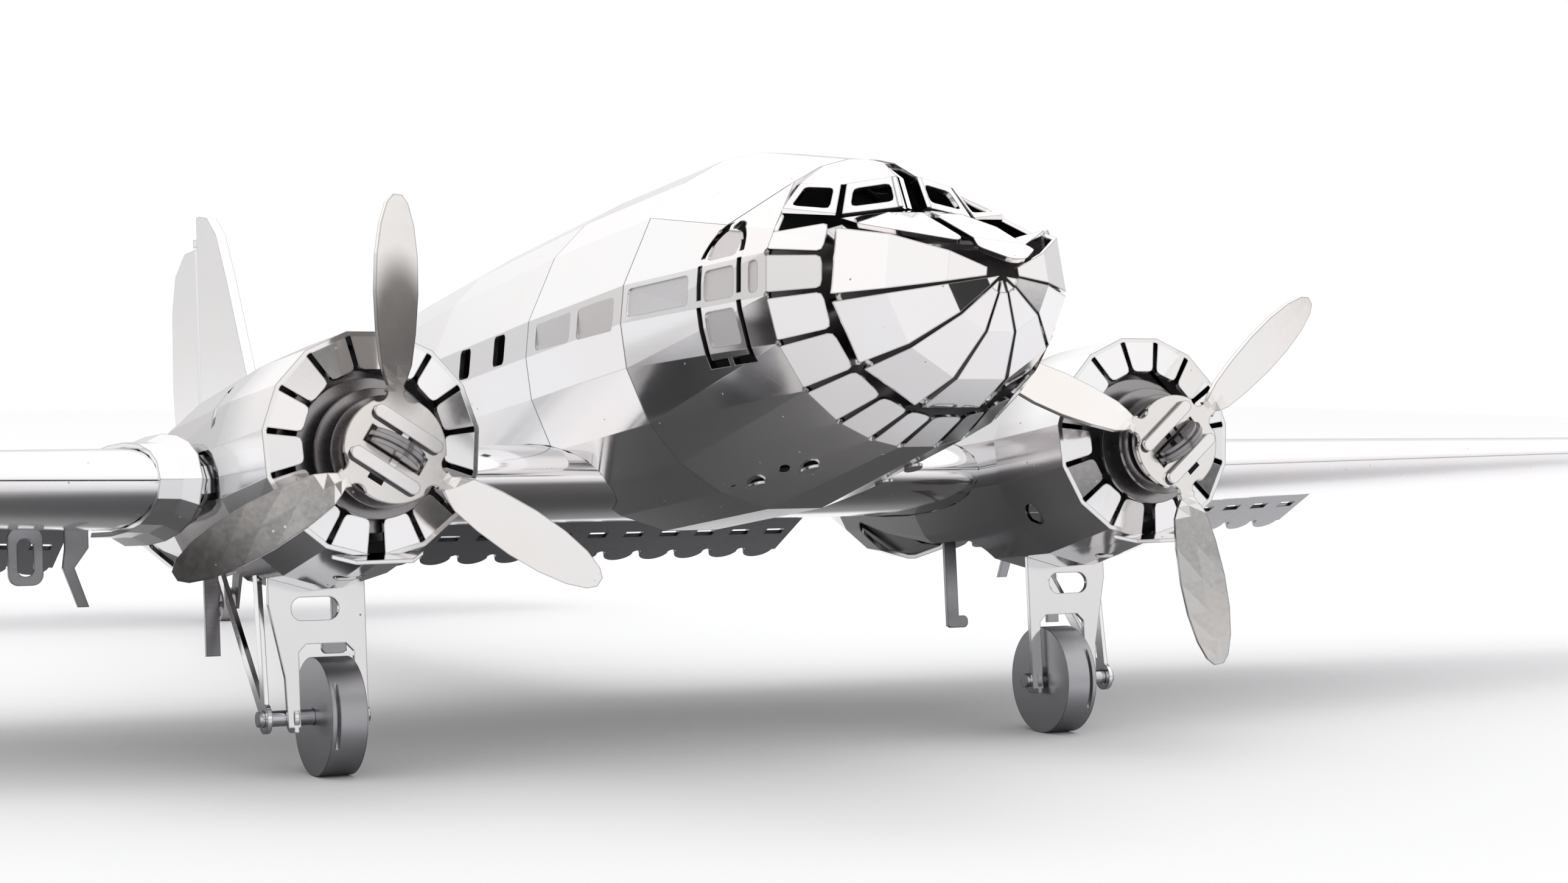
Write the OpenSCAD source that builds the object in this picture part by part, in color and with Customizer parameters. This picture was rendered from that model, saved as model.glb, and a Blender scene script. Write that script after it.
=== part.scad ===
// Sheet-steel kit of a twin-engine airliner, standing on its three wheels.
// Lengths are millimetres. Pieces are drawn in the aircraft's own frame:
// X to the right seen from the front, Y back from the propellers,
// Z up from the propeller shafts. The finished aircraft is then pitched
// until its main wheels and its tail wheel stand on Z = 0. Left and right
// are those of someone who looks at the nose.

/* [Sheet] */
// Thickness of the steel sheet
sheet = 0.5; // [0.4:0.05:0.6]
// Width of the cuts between tabs and between petals
cut = 0.6; // [0.4:0.05:0.8]
// Gap between a moving piece and what stands beside it
play = 0.4; // [0.3:0.05:0.6]
// Gap between sheets that only lie beside each other
seam = 0.1; // [0.05:0.05:0.2]
// Radial play of a shaft or pin in its bore
fit = 0.06; // [0.03:0.01:0.1]

/* [Fuselage] */
// Radius of the cabin
body_r = 18.7; // [18:0.1:19.5]
// Radius where the nose tabs start
nose_r = 15.6; // [15:0.1:16.2]
// Radius of the nose cap at its base
cap_r = 12.2; // [11.6:0.1:12.4]
// Height of the cabin's centre over the propeller shafts
body_z = 12.35; // [12:0.05:12.8]
// Height of the nose section's centre over the propeller shafts
nose_z = 13.75; // [13.3:0.05:14.2]
// Height of the tail cone's end over the propeller shafts
tail_z = 8.6; // [8:0.1:9.4]
// Distance from the nose tip back to the propeller plane
tip_ahead = 38.2; // [37.5:0.1:39]
// Length of the nose cap's petals along the body
cap_len = 10.2; // [9.5:0.1:10.8]
// Length of the nose tabs along the body
tab_len = 6; // [5.4:0.1:6.6]
// Length of the forward skin
front_len = 25.6; // [24:0.1:27]
// Length of the shoulder skin
shoulder_len = 24.5; // [23:0.1:26]
// Length of the cabin skin
cabin_len = 79.5; // [76:0.5:83]
// Length of the tail cone
cone_len = 114; // [110:0.5:118]
// Pitch of the cabin windows
window_pitch = 11; // [10:0.1:11.5]
// Length of a cabin window
window_w = 3.4; // [3:0.1:4]
// Height of a cabin window
window_h = 3.3; // [3:0.1:3.6]
// Number of cabin windows on a side
window_count = 7; // [5:1:7]
// Width of the door in the forward skin
door_w = 7.6; // [7:0.1:8.2]
// Depth of the pressed panels in the skin
press_deep = 0.18; // [0.1:0.02:0.24]

/* [Wing] */
// Length of the whole wing from tip to tip
span = 380; // [360:1:400]
// Distance from each propeller shaft out to the joint with the outer wing
joint_off = 12; // [11.6:0.1:12.4]
// Leading edge behind the propeller plane
wing_y = 22; // [21.5:0.1:22.5]
// Height of the chord line over the propeller shafts
wing_z = -1.2; // [-1.5:0.05:-0.9]
// Chord of the centre section
root_chord = 58; // [57:0.5:60]
// Thickness of the centre section
root_thick = 8.3; // [8:0.1:8.6]
// Chord at the start of the rounded tip
tip_chord = 22; // [20:0.5:24]
// Thickness at the start of the rounded tip
tip_thick = 3.8; // [3.6:0.1:4.2]
// Length of the rounded tip
tip_round = 12; // [11:0.5:13]
// Sweep of the outer leading edge in degrees
sweep = 14; // [13:0.5:15]
// Rise of the outer wing in degrees
dihedral = 1.6; // [1:0.1:2.2]
// Share of the chord ahead of the flaps and ailerons
box_share = 0.72; // [0.7:0.01:0.74]
// Share of the outer wing's length taken by its flap
flap_share = 0.46; // [0.42:0.01:0.46]
// Depth of the flap sheet from its hinge back
flap_deep = 10.6; // [10:0.1:11]
// Angle at which the flaps hang below the wing in degrees
flap_angle = 24; // [20:1:28]
// Share of the outer wing's length taken by its aileron
aileron_share = 0.46; // [0.42:0.01:0.46]

/* [Engines] */
// Distance from the middle to each propeller shaft
engine_x = 44.4; // [44:0.1:45]
// Radius of the ring of cowl petals
cowl_r = 11.1; // [10.8:0.1:11.3]
// Radius of the opening inside the petals
intake_r = 7.1; // [6.9:0.1:7.3]
// Height of the cowl's centre over the propeller shaft
cowl_z = 1; // [0.8:0.1:1.2]
// Distance of the petal ring behind the propeller plane
cowl_y = 6; // [5.8:0.1:6.4]
// Length of a nacelle behind the petal ring
nacelle_len = 70; // [67:0.5:72]
// Number of cowl petals
petals = 15; // [13:2:17]
// Radius of a propeller
prop_r = 24.5; // [24:0.1:25]
// Widest half width of a blade
blade_half = 2.5; // [2.3:0.1:2.8]
// Twist of a blade in degrees
blade_twist = 18; // [12:1:24]
// Radius of the propeller's hub plate
hub_r = 5.1; // [5:0.05:5.3]
// Angle of the left propeller's first blade in degrees
left_turn = 327.6; // [0:0.1:360]
// Angle of the right propeller's first blade in degrees
right_turn = 39.8; // [0:0.1:360]
// Radius of the propeller shafts
shaft_r = 0.8; // [0.7:0.05:0.9]
// Radius of the head on the front of each shaft
head_r = 1.4; // [1.2:0.1:1.6]
// Thickness of the shaft's head
head_t = 0.3; // [0.25:0.05:0.4]

/* [Undercarriage] */
// Distance of each main wheel inboard of its propeller shaft
wheel_off = 1.3; // [1.1:0.1:1.6]
// Main axle behind the propeller plane
axle_y = 24.6; // [24.3:0.1:24.9]
// Main axle below the propeller shafts
axle_drop = 25.1; // [24.8:0.1:25.6]
// Radius of a main wheel
wheel_r = 6; // [5.8:0.1:6.2]
// Width of a main wheel
wheel_w = 3.7; // [3.5:0.1:3.9]
// Radius of the wheel axles
axle_r = 0.8; // [0.7:0.05:0.9]
// Tail wheel behind the propeller plane
tail_wheel_y = 198; // [195:0.5:201]
// Tail axle below the propeller shafts
tail_drop = 10; // [9.5:0.1:10.5]
// Radius of the tail wheel
tail_wheel_r = 2.6; // [2.4:0.1:2.8]
// Width of the tail wheel
tail_wheel_w = 2; // [1.8:0.1:2.2]

/* [Tail] */
// Top of the fin over the propeller shafts
fin_top = 52; // [50:0.5:54]
// Length of the fin's foot
fin_foot = 33; // [32:0.5:34]
// Rudder hinge behind the propeller plane
rudder_y = 206; // [204:0.5:207]
// Rear edge of the rudder behind the propeller plane
rudder_end = 220; // [219:0.5:221.5]
// Thickness of the folded tail surfaces
tail_thick = 1.6; // [1.4:0.1:1.8]
// Half the length of the tailplane
tailplane_half = 62; // [58:0.5:66]
// Leading edge of the tailplane at the body
tailplane_y = 187; // [185:0.5:189]
// Elevator hinge behind the propeller plane
elevator_y = 208; // [207:0.5:209]
// Rear edge of the elevators
elevator_end = 218; // [217:0.5:219]
// Height of the tailplane over the propeller shafts
tailplane_z = 9; // [8.8:0.1:9.2]
// Radius of the hinge rods
rod_r = 0.4; // [0.35:0.05:0.45]
// Width of the lugs that hold the hinge rods
lug_w = 1.2; // [1:0.1:1.5]

/* [Hidden] */
$fn = 48;
// Overlap of two sheets that are bent from one piece
lap = 0.08;
half_span = span / 2;
// Stations along the body
y_tip = -tip_ahead;
y_cap = y_tip + cap_len;
y_tab_end = y_cap + play;
y_tabs = y_tab_end + tab_len;
y_seam1 = y_tabs + front_len;
y_seam2 = y_seam1 + shoulder_len;
y_cone = y_seam2 + cabin_len;
y_end = y_cone + cone_len;
nose_tip_z = nose_z - 1.1;
nose_tip_r = 1.7;

// Vectors, sums and moved points
function lerp(a, b, t) = a + (b - a) * t;
function unit(v) = v / norm(v);
function sum(v) = [for (x = v) 1] * v;
function toward(p, f, d) = p + unit(f - p) * d;
function all_toward(loop, f, d) = [for (p = loop) toward(p, f, d)];
function flipped(loop) = [for (p = loop) [-p.x, p.y, p.z]];

// The stance: the pitch that sets all three wheels on one plane
wheel_step = [tail_wheel_y - axle_y, axle_drop - tail_drop];
pitch = atan2(wheel_step.y, wheel_step.x) + asin((wheel_r - tail_wheel_r) / norm(wheel_step));
function stand(p) = [p.x, p.y * cos(pitch) + p.z * sin(pitch),
                     p.z * cos(pitch) - p.y * sin(pitch)];
stand_z = wheel_r - stand([0, axle_y, -axle_drop]).z;

// Corner of a 3D outline drawn as a small curve of radius r between neighbours
function bent(p, before, after, r) = r == 0 ? [p]
  : let (a = toward(p, before, r), b = toward(p, after, r))
    [for (t = [0, 0.5, 1]) a * pow(1 - t, 2) + p * 2 * t * (1 - t) + b * pow(t, 2)];
// Outline whose corner i is rounded by radii[i]
function soft(loop, radii) = let (n = len(loop)) [
  for (i = [0:n-1]) each bent(loop[i], loop[(i + n - 1) % n], loop[(i + 1) % n], radii[i])];
// Outline inside a four-cornered plate at w from each edge
function inner_of(loop, w) = let (n = len(loop)) [
  for (i = [0:n-1]) toward(loop[i], loop[(i + n - 1) % n], w) + unit(loop[(i + 1) % n] - loop[i]) * w];
// Points of a flat counter-clockwise outline moved inward by d
function inset(loop, d) = let (n = len(loop)) [
  for (i = [0:n-1])
    let (a = unit(loop[i] - loop[(i + n - 1) % n]), b = unit(loop[(i + 1) % n] - loop[i]),
         m = unit(a + b))
    loop[i] + [-m.y, m.x] * d / max(0.4, m * a)];

// Solid from points and faces, whichever way round the faces run
module closed_solid(points, faces) {
  volume = sum([for (f = faces) cross(points[f[0]], points[f[1]]) * points[f[2]]]);
  polyhedron(points, volume > 0 ? [for (f = faces) [f[2], f[1], f[0]]] : faces);
}

// Sheet between two matching grids of points; a closed one wraps round
module between(outer, inner, closed = false) {
  rows = len(outer);
  cols = len(outer[0]);
  n = rows * cols;
  m = cols - 1;
  steps = closed ? cols : m;
  quads = [
    for (i = [0:rows-2], j = [0:steps-1])
      let (k = (j + 1) % cols)
      [i * cols + j, i * cols + k, (i + 1) * cols + k, (i + 1) * cols + j]];
  skins = concat(quads, [for (q = quads) [q[3] + n, q[2] + n, q[1] + n, q[0] + n]]);
  last = n - cols;
  rims = [
    for (j = [0:steps-1])
      let (k = (j + 1) % cols)
      each [[k, j, j + n, k + n], [last + j, last + k, last + k + n, last + j + n]]];
  sides = closed ? [] : [
    for (i = [0:rows-2])
      let (a = i * cols, b = a + cols)
      each [[a, b, b + n, a + n], [b + m, a + m, a + m + n, b + m + n]]];
  faces = [for (q = concat(skins, rims, sides)) each [[q[0], q[1], q[2]], [q[0], q[2], q[3]]]];
  closed_solid(concat([for (row = outer) each row], [for (row = inner) each row]), faces);
}

// Sheet behind a grid of points, on the side of the point f
module bent_sheet(grid, f, t = sheet) between(grid, [for (row = grid) all_toward(row, f, t)]);

// Nearly flat plate behind an outline, on the side of the point f
module plate(loop, f, t = sheet) {
  n = len(loop);
  middle = sum(loop) / n;
  points = concat(loop, all_toward(loop, f, t), [middle, toward(middle, f, t)]);
  faces = [
    for (i = [0:n-1])
      let (k = (i + 1) % n)
      each [[i, k, 2 * n], [k + n, i + n, 2 * n + 1], [i, i + n, k + n], [i, k + n, k]]];
  closed_solid(points, faces);
}

// Plate with a window at w from its edges
module window_plate(loop, f, w, r) difference() {
  plate(loop, f);
  plate(all_toward(soft(inner_of(loop, w), [r, r, r, r]), f, -1), f, 1 + 3 * sheet);
}

// Solid through a row of matching outlines
module loft(rows) {
  cols = len(rows[0]);
  n = cols * len(rows);
  last = n - cols;
  points = concat([for (row = rows) each row],
    [sum(rows[0]) / cols, sum(rows[len(rows)-1]) / cols]);
  walls = [
    for (i = [0:len(rows)-2], j = [0:cols-1])
      let (k = (j + 1) % cols, a = i * cols + j, b = i * cols + k)
      each [[a, b, b + cols], [a, b + cols, a + cols]]];
  ends = [
    for (j = [0:cols-1])
      let (k = (j + 1) % cols)
      each [[k, j, n], [last + j, last + k, n + 1]]];
  closed_solid(points, concat(walls, ends));
}

// Flat outlines stood on their planes: X and Z back from y, Y and Z right from x
module back_from(y, t) translate([0, y + t, 0]) rotate([90, 0, 0]) linear_extrude(t) children();
module across_from(x, t) translate([x, 0, 0]) rotate([90, 0, 90]) linear_extrude(t) children();
module pin_y(p, r, t) translate([p.x, p.y + t, p.z]) rotate([90, 0, 0]) cylinder(r = r, h = t);
module pin_x(p, r, t) translate(p) rotate([0, 90, 0]) cylinder(r = r, h = t);
// Round bar from a to b
module bar(a, b, r) {
  d = b - a;
  translate(a) rotate([0, acos(d.z / norm(d)), atan2(d.y, d.x)]) cylinder(r = r, h = norm(d));
}
// Flat outline with round corners
module rounded_box(size, r) {
  translate([r, 0]) square([size.x - 2 * r, size.y]);
  translate([0, r]) square([size.x, size.y - 2 * r]);
  for (x = [r, size.x - r], y = [r, size.y - r]) translate([x, y]) circle(r, $fn = 24);
}
// Frame whose X runs from o to a and whose Y points to b
module on_plane(o, a, b) {
  x = unit(a - o);
  z = unit(cross(x, b - o));
  y = cross(z, x);
  multmatrix([[x.x, y.x, z.x, o.x], [x.y, y.y, z.y, o.y], [x.z, y.z, z.z, o.z], [0, 0, 0, 1]])
    children();
}
// The left pieces are drawn; the right ones are their mirror images
module on_side(side) mirror([side > 0 ? 1 : 0, 0, 0]) children();

// Body sections: facet corners on the left half, from the roof to the belly
nose_angles = [97, 114, 130, 163, 169.6, 184.7, 201.6, 220.5, 237.2, 251.1, 262.6];
cabin_angles = [97, 111, 127, 143, 166.8, 179, 192.8, 211.3, 227.3, 243.5, 260.5];
corners = len(cabin_angles);
y_cabin_a = lerp(y_seam2, y_cone, 0.4);
y_cabin_b = lerp(y_seam2, y_cone, 0.78);
y_cone_a = lerp(y_cone, y_end, 0.37);
y_cone_b = lerp(y_cone, y_end, 0.64);
y_cone_c = lerp(y_cone, y_end, 0.86);
end_r = 1.4;
function half_w(y) = lookup(y, [[y_tabs, nose_r], [y_seam1, body_r], [y_seam2, body_r],
  [y_cabin_a, body_r * 0.945], [y_cabin_b, body_r * 0.815], [y_cone, body_r * 0.71],
  [y_cone_a, body_r * 0.48], [y_cone_b, body_r * 0.3], [y_cone_c, body_r * 0.16], [y_end, end_r]]);
function roof_h(y) = lookup(y, [[y_tabs, nose_r], [y_seam1, body_r - 0.5],
  [y_seam2, body_r - 0.3], [y_cabin_a, body_r * 0.945], [y_cabin_b, body_r * 0.86],
  [y_cone, body_r * 0.76], [y_cone_a, body_r * 0.54], [y_cone_b, body_r * 0.36],
  [y_cone_c, body_r * 0.19], [y_end, end_r]]);
function mid_z(y) = lookup(y, [[y_tabs, nose_z], [y_seam1, body_z], [y_seam2, body_z - 0.95],
  [y_cabin_a, body_z - 2.05], [y_cone, lerp(body_z, tail_z, 0.85)], [y_end, tail_z]]);
function section_point(a, y, inner) = [(half_w(y) - inner) * cos(a), y,
  mid_z(y) + ((sin(a) > 0 ? roof_h(y) : half_w(y)) - inner) * sin(a)];
function whole(left) = concat(left, [for (i = [len(left)-1:-1:0]) [-left[i].x, left[i].y, left[i].z]]);
function cabin_left(y, inner = 0) = [for (a = cabin_angles) section_point(a, y, inner)];
function cabin_loop(y, inner = 0) = whole(cabin_left(y, inner));
module cabin_rows(ys) between([for (y = ys) cabin_loop(y)], [for (y = ys) cabin_loop(y, sheet)], true);
module cabin_disc(y) back_from(y, sheet)
  polygon([for (p = cabin_loop(y + sheet, sheet + seam)) [p.x, p.z]]);
function roof_z(y) = cabin_left(y)[0].z;
function belly_z(y) = cabin_left(y)[corners-1].z;

// Front edge of the forward skin: round the canopy above, flat below
front_left = concat(
  [[-1.9, y_tabs + 8.1, nose_z + 13.2], [-5, y_tabs + 7.7, nose_z + 12.35],
   [-8.3, y_tabs + 7.1, nose_z + 10.65], [-14.4, y_tabs, nose_z + 4.95]],
  [for (i = [4:corners-1]) section_point(nose_angles[i], y_tabs, 0)]);
function to_axis(loop, d) = [for (p = loop) toward(p, [0, p.y, nose_z], d)];
function front_point(i, y) = let (a = front_left[i], b = cabin_left(y_seam1)[i])
  lerp(a, b, (y - a.y) / (b.y - a.y));
// Ring that the ends of the nose tabs make
tab_ring_r = cap_r + 0.7;
tab_ring = [for (i = [3:corners-1])
  let (a = i == 3 ? 155.6 : nose_angles[i])
  [tab_ring_r * cos(a), y_tab_end, nose_z - 0.35 + tab_ring_r * sin(a)]];
tab_focus = [0, y_tabs + 14, nose_z];

// One nose tab from the skin's edge a-b to the ring's edge c-d
module nose_tab(a, b, d, c) {
  gap = cut / 2;
  base = [toward(a, b, gap), toward(b, a, gap)];
  end = [toward(c, d, gap * 0.6), toward(d, c, gap * 0.6)];
  plate(soft([base[0] + [0, lap, 0], base[1] + [0, lap, 0], end[0], end[1]], [0, 0, 0.7, 0.7]),
    tab_focus);
}

module nose_tabs() {
  for (side = [0, 1], i = [3:corners-2]) mirror([side, 0, 0])
    nose_tab(front_left[i], front_left[i + 1], tab_ring[i - 3], tab_ring[i - 2]);
  nose_tab(front_left[corners-1], flipped(front_left)[corners-1],
    tab_ring[corners-4], flipped(tab_ring)[corners-4]);
}

// Panel pressed into facet i between two stations, at w from the facet's edges
module pressed(i, y0, y1, w = 0.55, r = 0.5) {
  loop = [front_point(i, y0), front_point(i, y1), front_point(i + 1, y1), front_point(i + 1, y0)];
  hollow = soft(inner_of(loop, w), [r, r, r, r]);
  focus = [0, (y0 + y1) / 2, nose_z];
  plate(all_toward(hollow, focus, -1), focus, 1 + press_deep);
}

// Door outline in Y and Z, its slots broken by short bridges
door_y = y_tabs + 8;
door_z = nose_z + 3;
door_slot = 0.75;
module door_shape(grow) {
  r = door_w / 2 + grow;
  translate([door_y, door_z]) circle(r);
  translate([door_y - r, door_z - 10 - grow]) square([2 * r, 10 + grow]);
}
module door_slots() across_from(-body_r - 1, body_r) difference() {
  door_shape(0);
  door_shape(-door_slot);
  for (z = [door_z + 0.2, door_z - 3.8]) translate([door_y - door_w, z - 0.35])
    square([2 * door_w, 0.7]);
  translate([door_y - 0.2, door_z - 12]) square([0.7, 20]);
}

module forward_skin() color("gainsboro") difference() {
  union() {
    between([whole(front_left), cabin_loop(y_seam1)],
      [whole(to_axis(front_left, sheet)), cabin_loop(y_seam1, sheet)], true);
    nose_tabs();
  }
  door_slots();
  pressed(4, y_seam1 - 0.4, door_y + door_w / 2 + 1.1);
  for (side = [0, 1]) mirror([side, 0, 0]) pressed(4, door_y - door_w / 2 - 0.7, y_tabs + 0.9);
  mirror([1, 0, 0]) pressed(4, y_seam1 - 0.4, door_y);
  for (i = [3:5])
    pressed(i, door_y + door_w / 2 - door_slot, door_y - door_w / 2 + door_slot);
  // Round ends of the cuts between the tabs
  for (side = [0, 1], i = [4:corners-1]) mirror([side, 0, 0]) {
    p = front_left[i];
    bar(toward(p, [0, p.y, nose_z], -1), toward(p, [0, p.y, nose_z], 2), cut * 0.55, $fn = 16);
  }
}

// Nose cap: a ring and seven petals bent together, below the brow plates
cap_z = nose_z - 0.45;
cap_angles = [for (k = [0:7]) 155.5 + k * 32.714];
cap_focus = [0, y_cap + 6, cap_z];
cap_rows = [[y_cap, cap_r, 1.2], [y_tip + 4.6, cap_r * 0.795, 0.7],
  [y_tip + 0.8, cap_r * 0.443, 0.4], [y_tip, nose_tip_r, 0.3]];
function cap_point(row, a, side) = let (turn = asin(row[2] * cut / 2 / row[1]) * side)
  [row[1] * cos(a + turn), row[0],
   lerp(cap_z, nose_tip_z, (y_cap - row[0]) / cap_len) + row[1] * sin(a + turn)];
module cap_ring() {
  ring_r = cap_r - 0.25;
  loop = concat([for (a = cap_angles) [ring_r * cos(a), cap_z + ring_r * sin(a)]],
    [[8.5, cap_z + 3.4], [-8.5, cap_z + 3.4]]);
  back_from(y_cap - 0.3, y_tabs + seam - y_cap + 0.3) difference() {
    polygon(loop);
    polygon(inset(loop, sheet));
  }
}
// Rolled front edge of the ring, one straight length on each facet
roll_r = 0.32;
module cap_roll() for (k = [0:6]) {
  ends = [for (a = [cap_angles[k], cap_angles[k + 1]])
    [(cap_r - 0.2) * cos(a), y_cap + roll_r * 0.6, cap_z + (cap_r - 0.2) * sin(a)]];
  bar(toward(ends[0], ends[1], cut / 2), toward(ends[1], ends[0], cut / 2), roll_r, $fn = 16);
}
module nose_cap() color("whitesmoke") {
  cap_ring();
  cap_roll();
  for (k = [0:6])
    bent_sheet([for (row = cap_rows)
      [cap_point(row, cap_angles[k], 1), cap_point(row, cap_angles[k + 1], -1)]], cap_focus);
}

// Brow plates between the windscreen and the nose tip
brow_focus = [0, y_tabs - 2, nose_z - 20];
brow_back = [[-7.5, y_tabs - 0.4, nose_z + 6.1], [-3.8, y_tabs - 1.3, nose_z + 6.5],
  [0, y_tabs - 2.3, nose_z + 6.8]];
brow_edge = [[-7.6, y_tabs - 3.6, nose_z + 5.2], [-4, y_tabs - 3.3, nose_z + 6.35],
  [0, y_tabs - 3.8, nose_z + 6.35]];
brow_left = [[-7.6, y_tabs - 3.55, nose_z + 5.2], [-4, y_tabs - 3.25, nose_z + 6.35],
  [-0.6, y_tabs - 3.7, nose_z + 6.35], [-0.9, y_tabs - 11.4, nose_z + 2.95],
  [-1.9, y_tabs - 12.3, nose_z + 2.55]];
brow_right = [[0.4, y_tabs - 3.7, nose_z + 6.35], [4, y_tabs - 3.25, nose_z + 6.35],
  [7.6, y_tabs - 3.55, nose_z + 5.2], [5.4, y_tabs - 11.6, nose_z + 2.5],
  [0.2, y_tabs - 11.6, nose_z + 2.9]];
brow_tip = [[0.2, y_tabs - 11.4, nose_z + 3], [5.4, y_tabs - 11.4, nose_z + 2.6],
  [5.8, y_tabs - 13, nose_z + 1.75], [2.9, y_tabs - 16.1, nose_z + 0.42],
  [1.3, y_tabs - 16.2, nose_z + 0.4], [-0.4, y_tabs - 13.2, nose_z + 1.9]];
module brow_plates() color("white") {
  bent_sheet([concat(brow_back, flipped([brow_back[1], brow_back[0]])),
    concat(brow_edge, flipped([brow_edge[1], brow_edge[0]]))], brow_focus);
  plate(soft(brow_left, [0, 0, 0, 0.8, 0.6]), brow_focus);
  plate(brow_right, brow_focus);
  plate(soft(brow_tip, [0, 0, 0.6, 0.6, 0.6, 0.6]), brow_focus);
}

// Cockpit canopy: two windows and a folded roof on each side
sill_rear = [-12.15, y_tabs + 2.5, nose_z + 7.3];
sill_front = [-7.35, y_tabs + 0.2, nose_z + 6.55];
sill_mid = [-1.3, y_tabs - 1.5, nose_z + 7.2];
head_rear = [-8, y_tabs + 6.4, nose_z + 10.4];
head_front = [-6, y_tabs + 1.5, nose_z + 9.6];
head_mid = [-1.1, y_tabs - 0.1, nose_z + 10.3];
roof_rear = [-5, y_tabs + 7.2, nose_z + 12.3];
roof_front = [-3.6, y_tabs + 4.1, nose_z + 11.9];
roof_mid = [-0.55, y_tabs + 3.2, nose_z + 12.15];
crown_mid = [-0.55, y_tabs + 6.6, nose_z + 13];
crown_rear = [-2, y_tabs + 7.6, nose_z + 13.1];
canopy_focus = [0, y_tabs + 12, nose_z + 2];
// Window plate whose upper edge laps under the roof
module canopy_window(low_a, low_b, high_b, high_a) window_plate(
  [low_a, low_b, toward(high_b, low_b, -lap), toward(high_a, low_a, -lap)], canopy_focus, 0.75, 0.5);
module canopy_half() {
  canopy_window(sill_rear, toward(sill_front, sill_rear, cut / 2),
    toward(head_front, head_rear, cut / 2), head_rear);
  canopy_window(toward(sill_front, sill_mid, cut / 2), sill_mid, head_mid,
    toward(head_front, head_mid, cut / 2));
  bent_sheet([[head_rear, head_front, head_mid], [roof_rear, roof_front, roof_mid],
    [crown_rear, lerp(crown_rear, crown_mid, 0.5), crown_mid]], canopy_focus);
  // Flange of the centre post, folded inward
  plate([sill_mid, head_mid, head_mid + [0.1, 1.3, -0.5], sill_mid + [0.1, 1.3, 0.2]],
    sill_mid + [-40, 0, 0]);
}
module cockpit_canopy() color("white") {
  canopy_half();
  mirror([1, 0, 0]) canopy_half();
  strap = [toward(crown_mid, crown_rear, 0.5), toward(crown_rear, crown_mid, 0.2)];
  plate(concat(strap, flipped([strap[1], strap[0]])), canopy_focus);
}

// The wing
straight_end = half_span - tip_round;
centre_half = engine_x + joint_off;
outer_len = straight_end - centre_half;
function outboard(x) = max(0, abs(x) - centre_half);
function along(x) = min(1, outboard(x) / outer_len);
function tip_loss(x) = 1 - sqrt(1 - pow(min(0.985, max(0, abs(x) - straight_end) / tip_round), 2));
function full_chord(x) = lerp(root_chord, tip_chord, along(x));
function chord(x) = full_chord(x) * (1 - 0.75 * tip_loss(x));
function lead_y(x) = wing_y + outboard(x) * tan(sweep) + full_chord(x) * 0.3 * tip_loss(x);
function wing_thick(x) = lerp(root_thick, tip_thick, along(x)) * (1 - 0.7 * tip_loss(x));
function chord_z(x) = wing_z + outboard(x) * tan(dihedral);
// Half thickness of the section at a share of the chord
function foil(s) = 5 * (0.2969 * sqrt(s) - 0.126 * s - 0.3516 * pow(s, 2) + 0.2843 * pow(s, 3)
  - 0.1036 * pow(s, 4));
function on_wing(x, s, up) = [x, lead_y(x) + chord(x) * s, chord_z(x) + up * wing_thick(x) * foil(s)];
foil_steps = 8;
box_shares = [for (k = [foil_steps:-1:1]) box_share * (1 - cos(90 * k / foil_steps))];
full_shares = concat([0.99, 0.86], box_shares);
function section(x, shares) = concat([for (s = shares) on_wing(x, s, 1)], [on_wing(x, 0, 1)],
  [for (i = [len(shares)-1:-1:0]) on_wing(x, shares[i], -1)]);
function flat(loop) = [for (p = loop) [p.y, p.z]];
function thinned(loop, d) = let (f = inset(flat(loop), d)) [for (i = [0:len(f)-1])
  [loop[i].x, f[i].x, f[i].y]];
module wing_box(xs) between([for (x = xs) section(x, box_shares)],
  [for (x = xs) thinned(section(x, box_shares), sheet)], true);
// Room for the centre wing in the pieces that it passes through
module wing_room(x, t) across_from(x, t) polygon(inset(flat(section(0, full_shares)), -seam));
// Upper sheet from the rear web to the trailing edge
function trailing_row(x) = [for (s = [box_share - 0.01, 0.86, 0.99]) on_wing(x, s, 1)];
module trailing_sheet(xs) between([for (x = xs) trailing_row(x)],
  [for (x = xs) [for (p = trailing_row(x)) p - [0, 0, sheet]]]);
function wing_under(y) = wing_z - root_thick * foil((y - wing_y) / root_chord) - seam;

// Hinges: a rolled edge turns on a rod that two lugs hold
curl_r = rod_r + fit + sheet;
hinge_back = curl_r + play;
function flap_axis(x) = on_wing(x, box_share, -1) + [0, hinge_back, curl_r];
function aileron_axis(x) = on_wing(x, box_share, 0) + [0, hinge_back, 0];
centre_flap_half = engine_x - cowl_r + 0.5;
flap_in = centre_half + 2;
flap_out = flap_in + flap_share * outer_len;
aileron_in = flap_out + 2 * (play + lug_w) + 1;
aileron_out = aileron_in + aileron_share * outer_len;
function spread(p, q, d) = [toward(p, q, -d), toward(q, p, -d)];
hinge_reach = play + lug_w;
centre_flap_ends = [flap_axis(-centre_flap_half), flap_axis(centre_flap_half)];
flap_ends = [flap_axis(-flap_in), flap_axis(-flap_out)];
aileron_ends = [aileron_axis(-aileron_in), aileron_axis(-aileron_out)];

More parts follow.
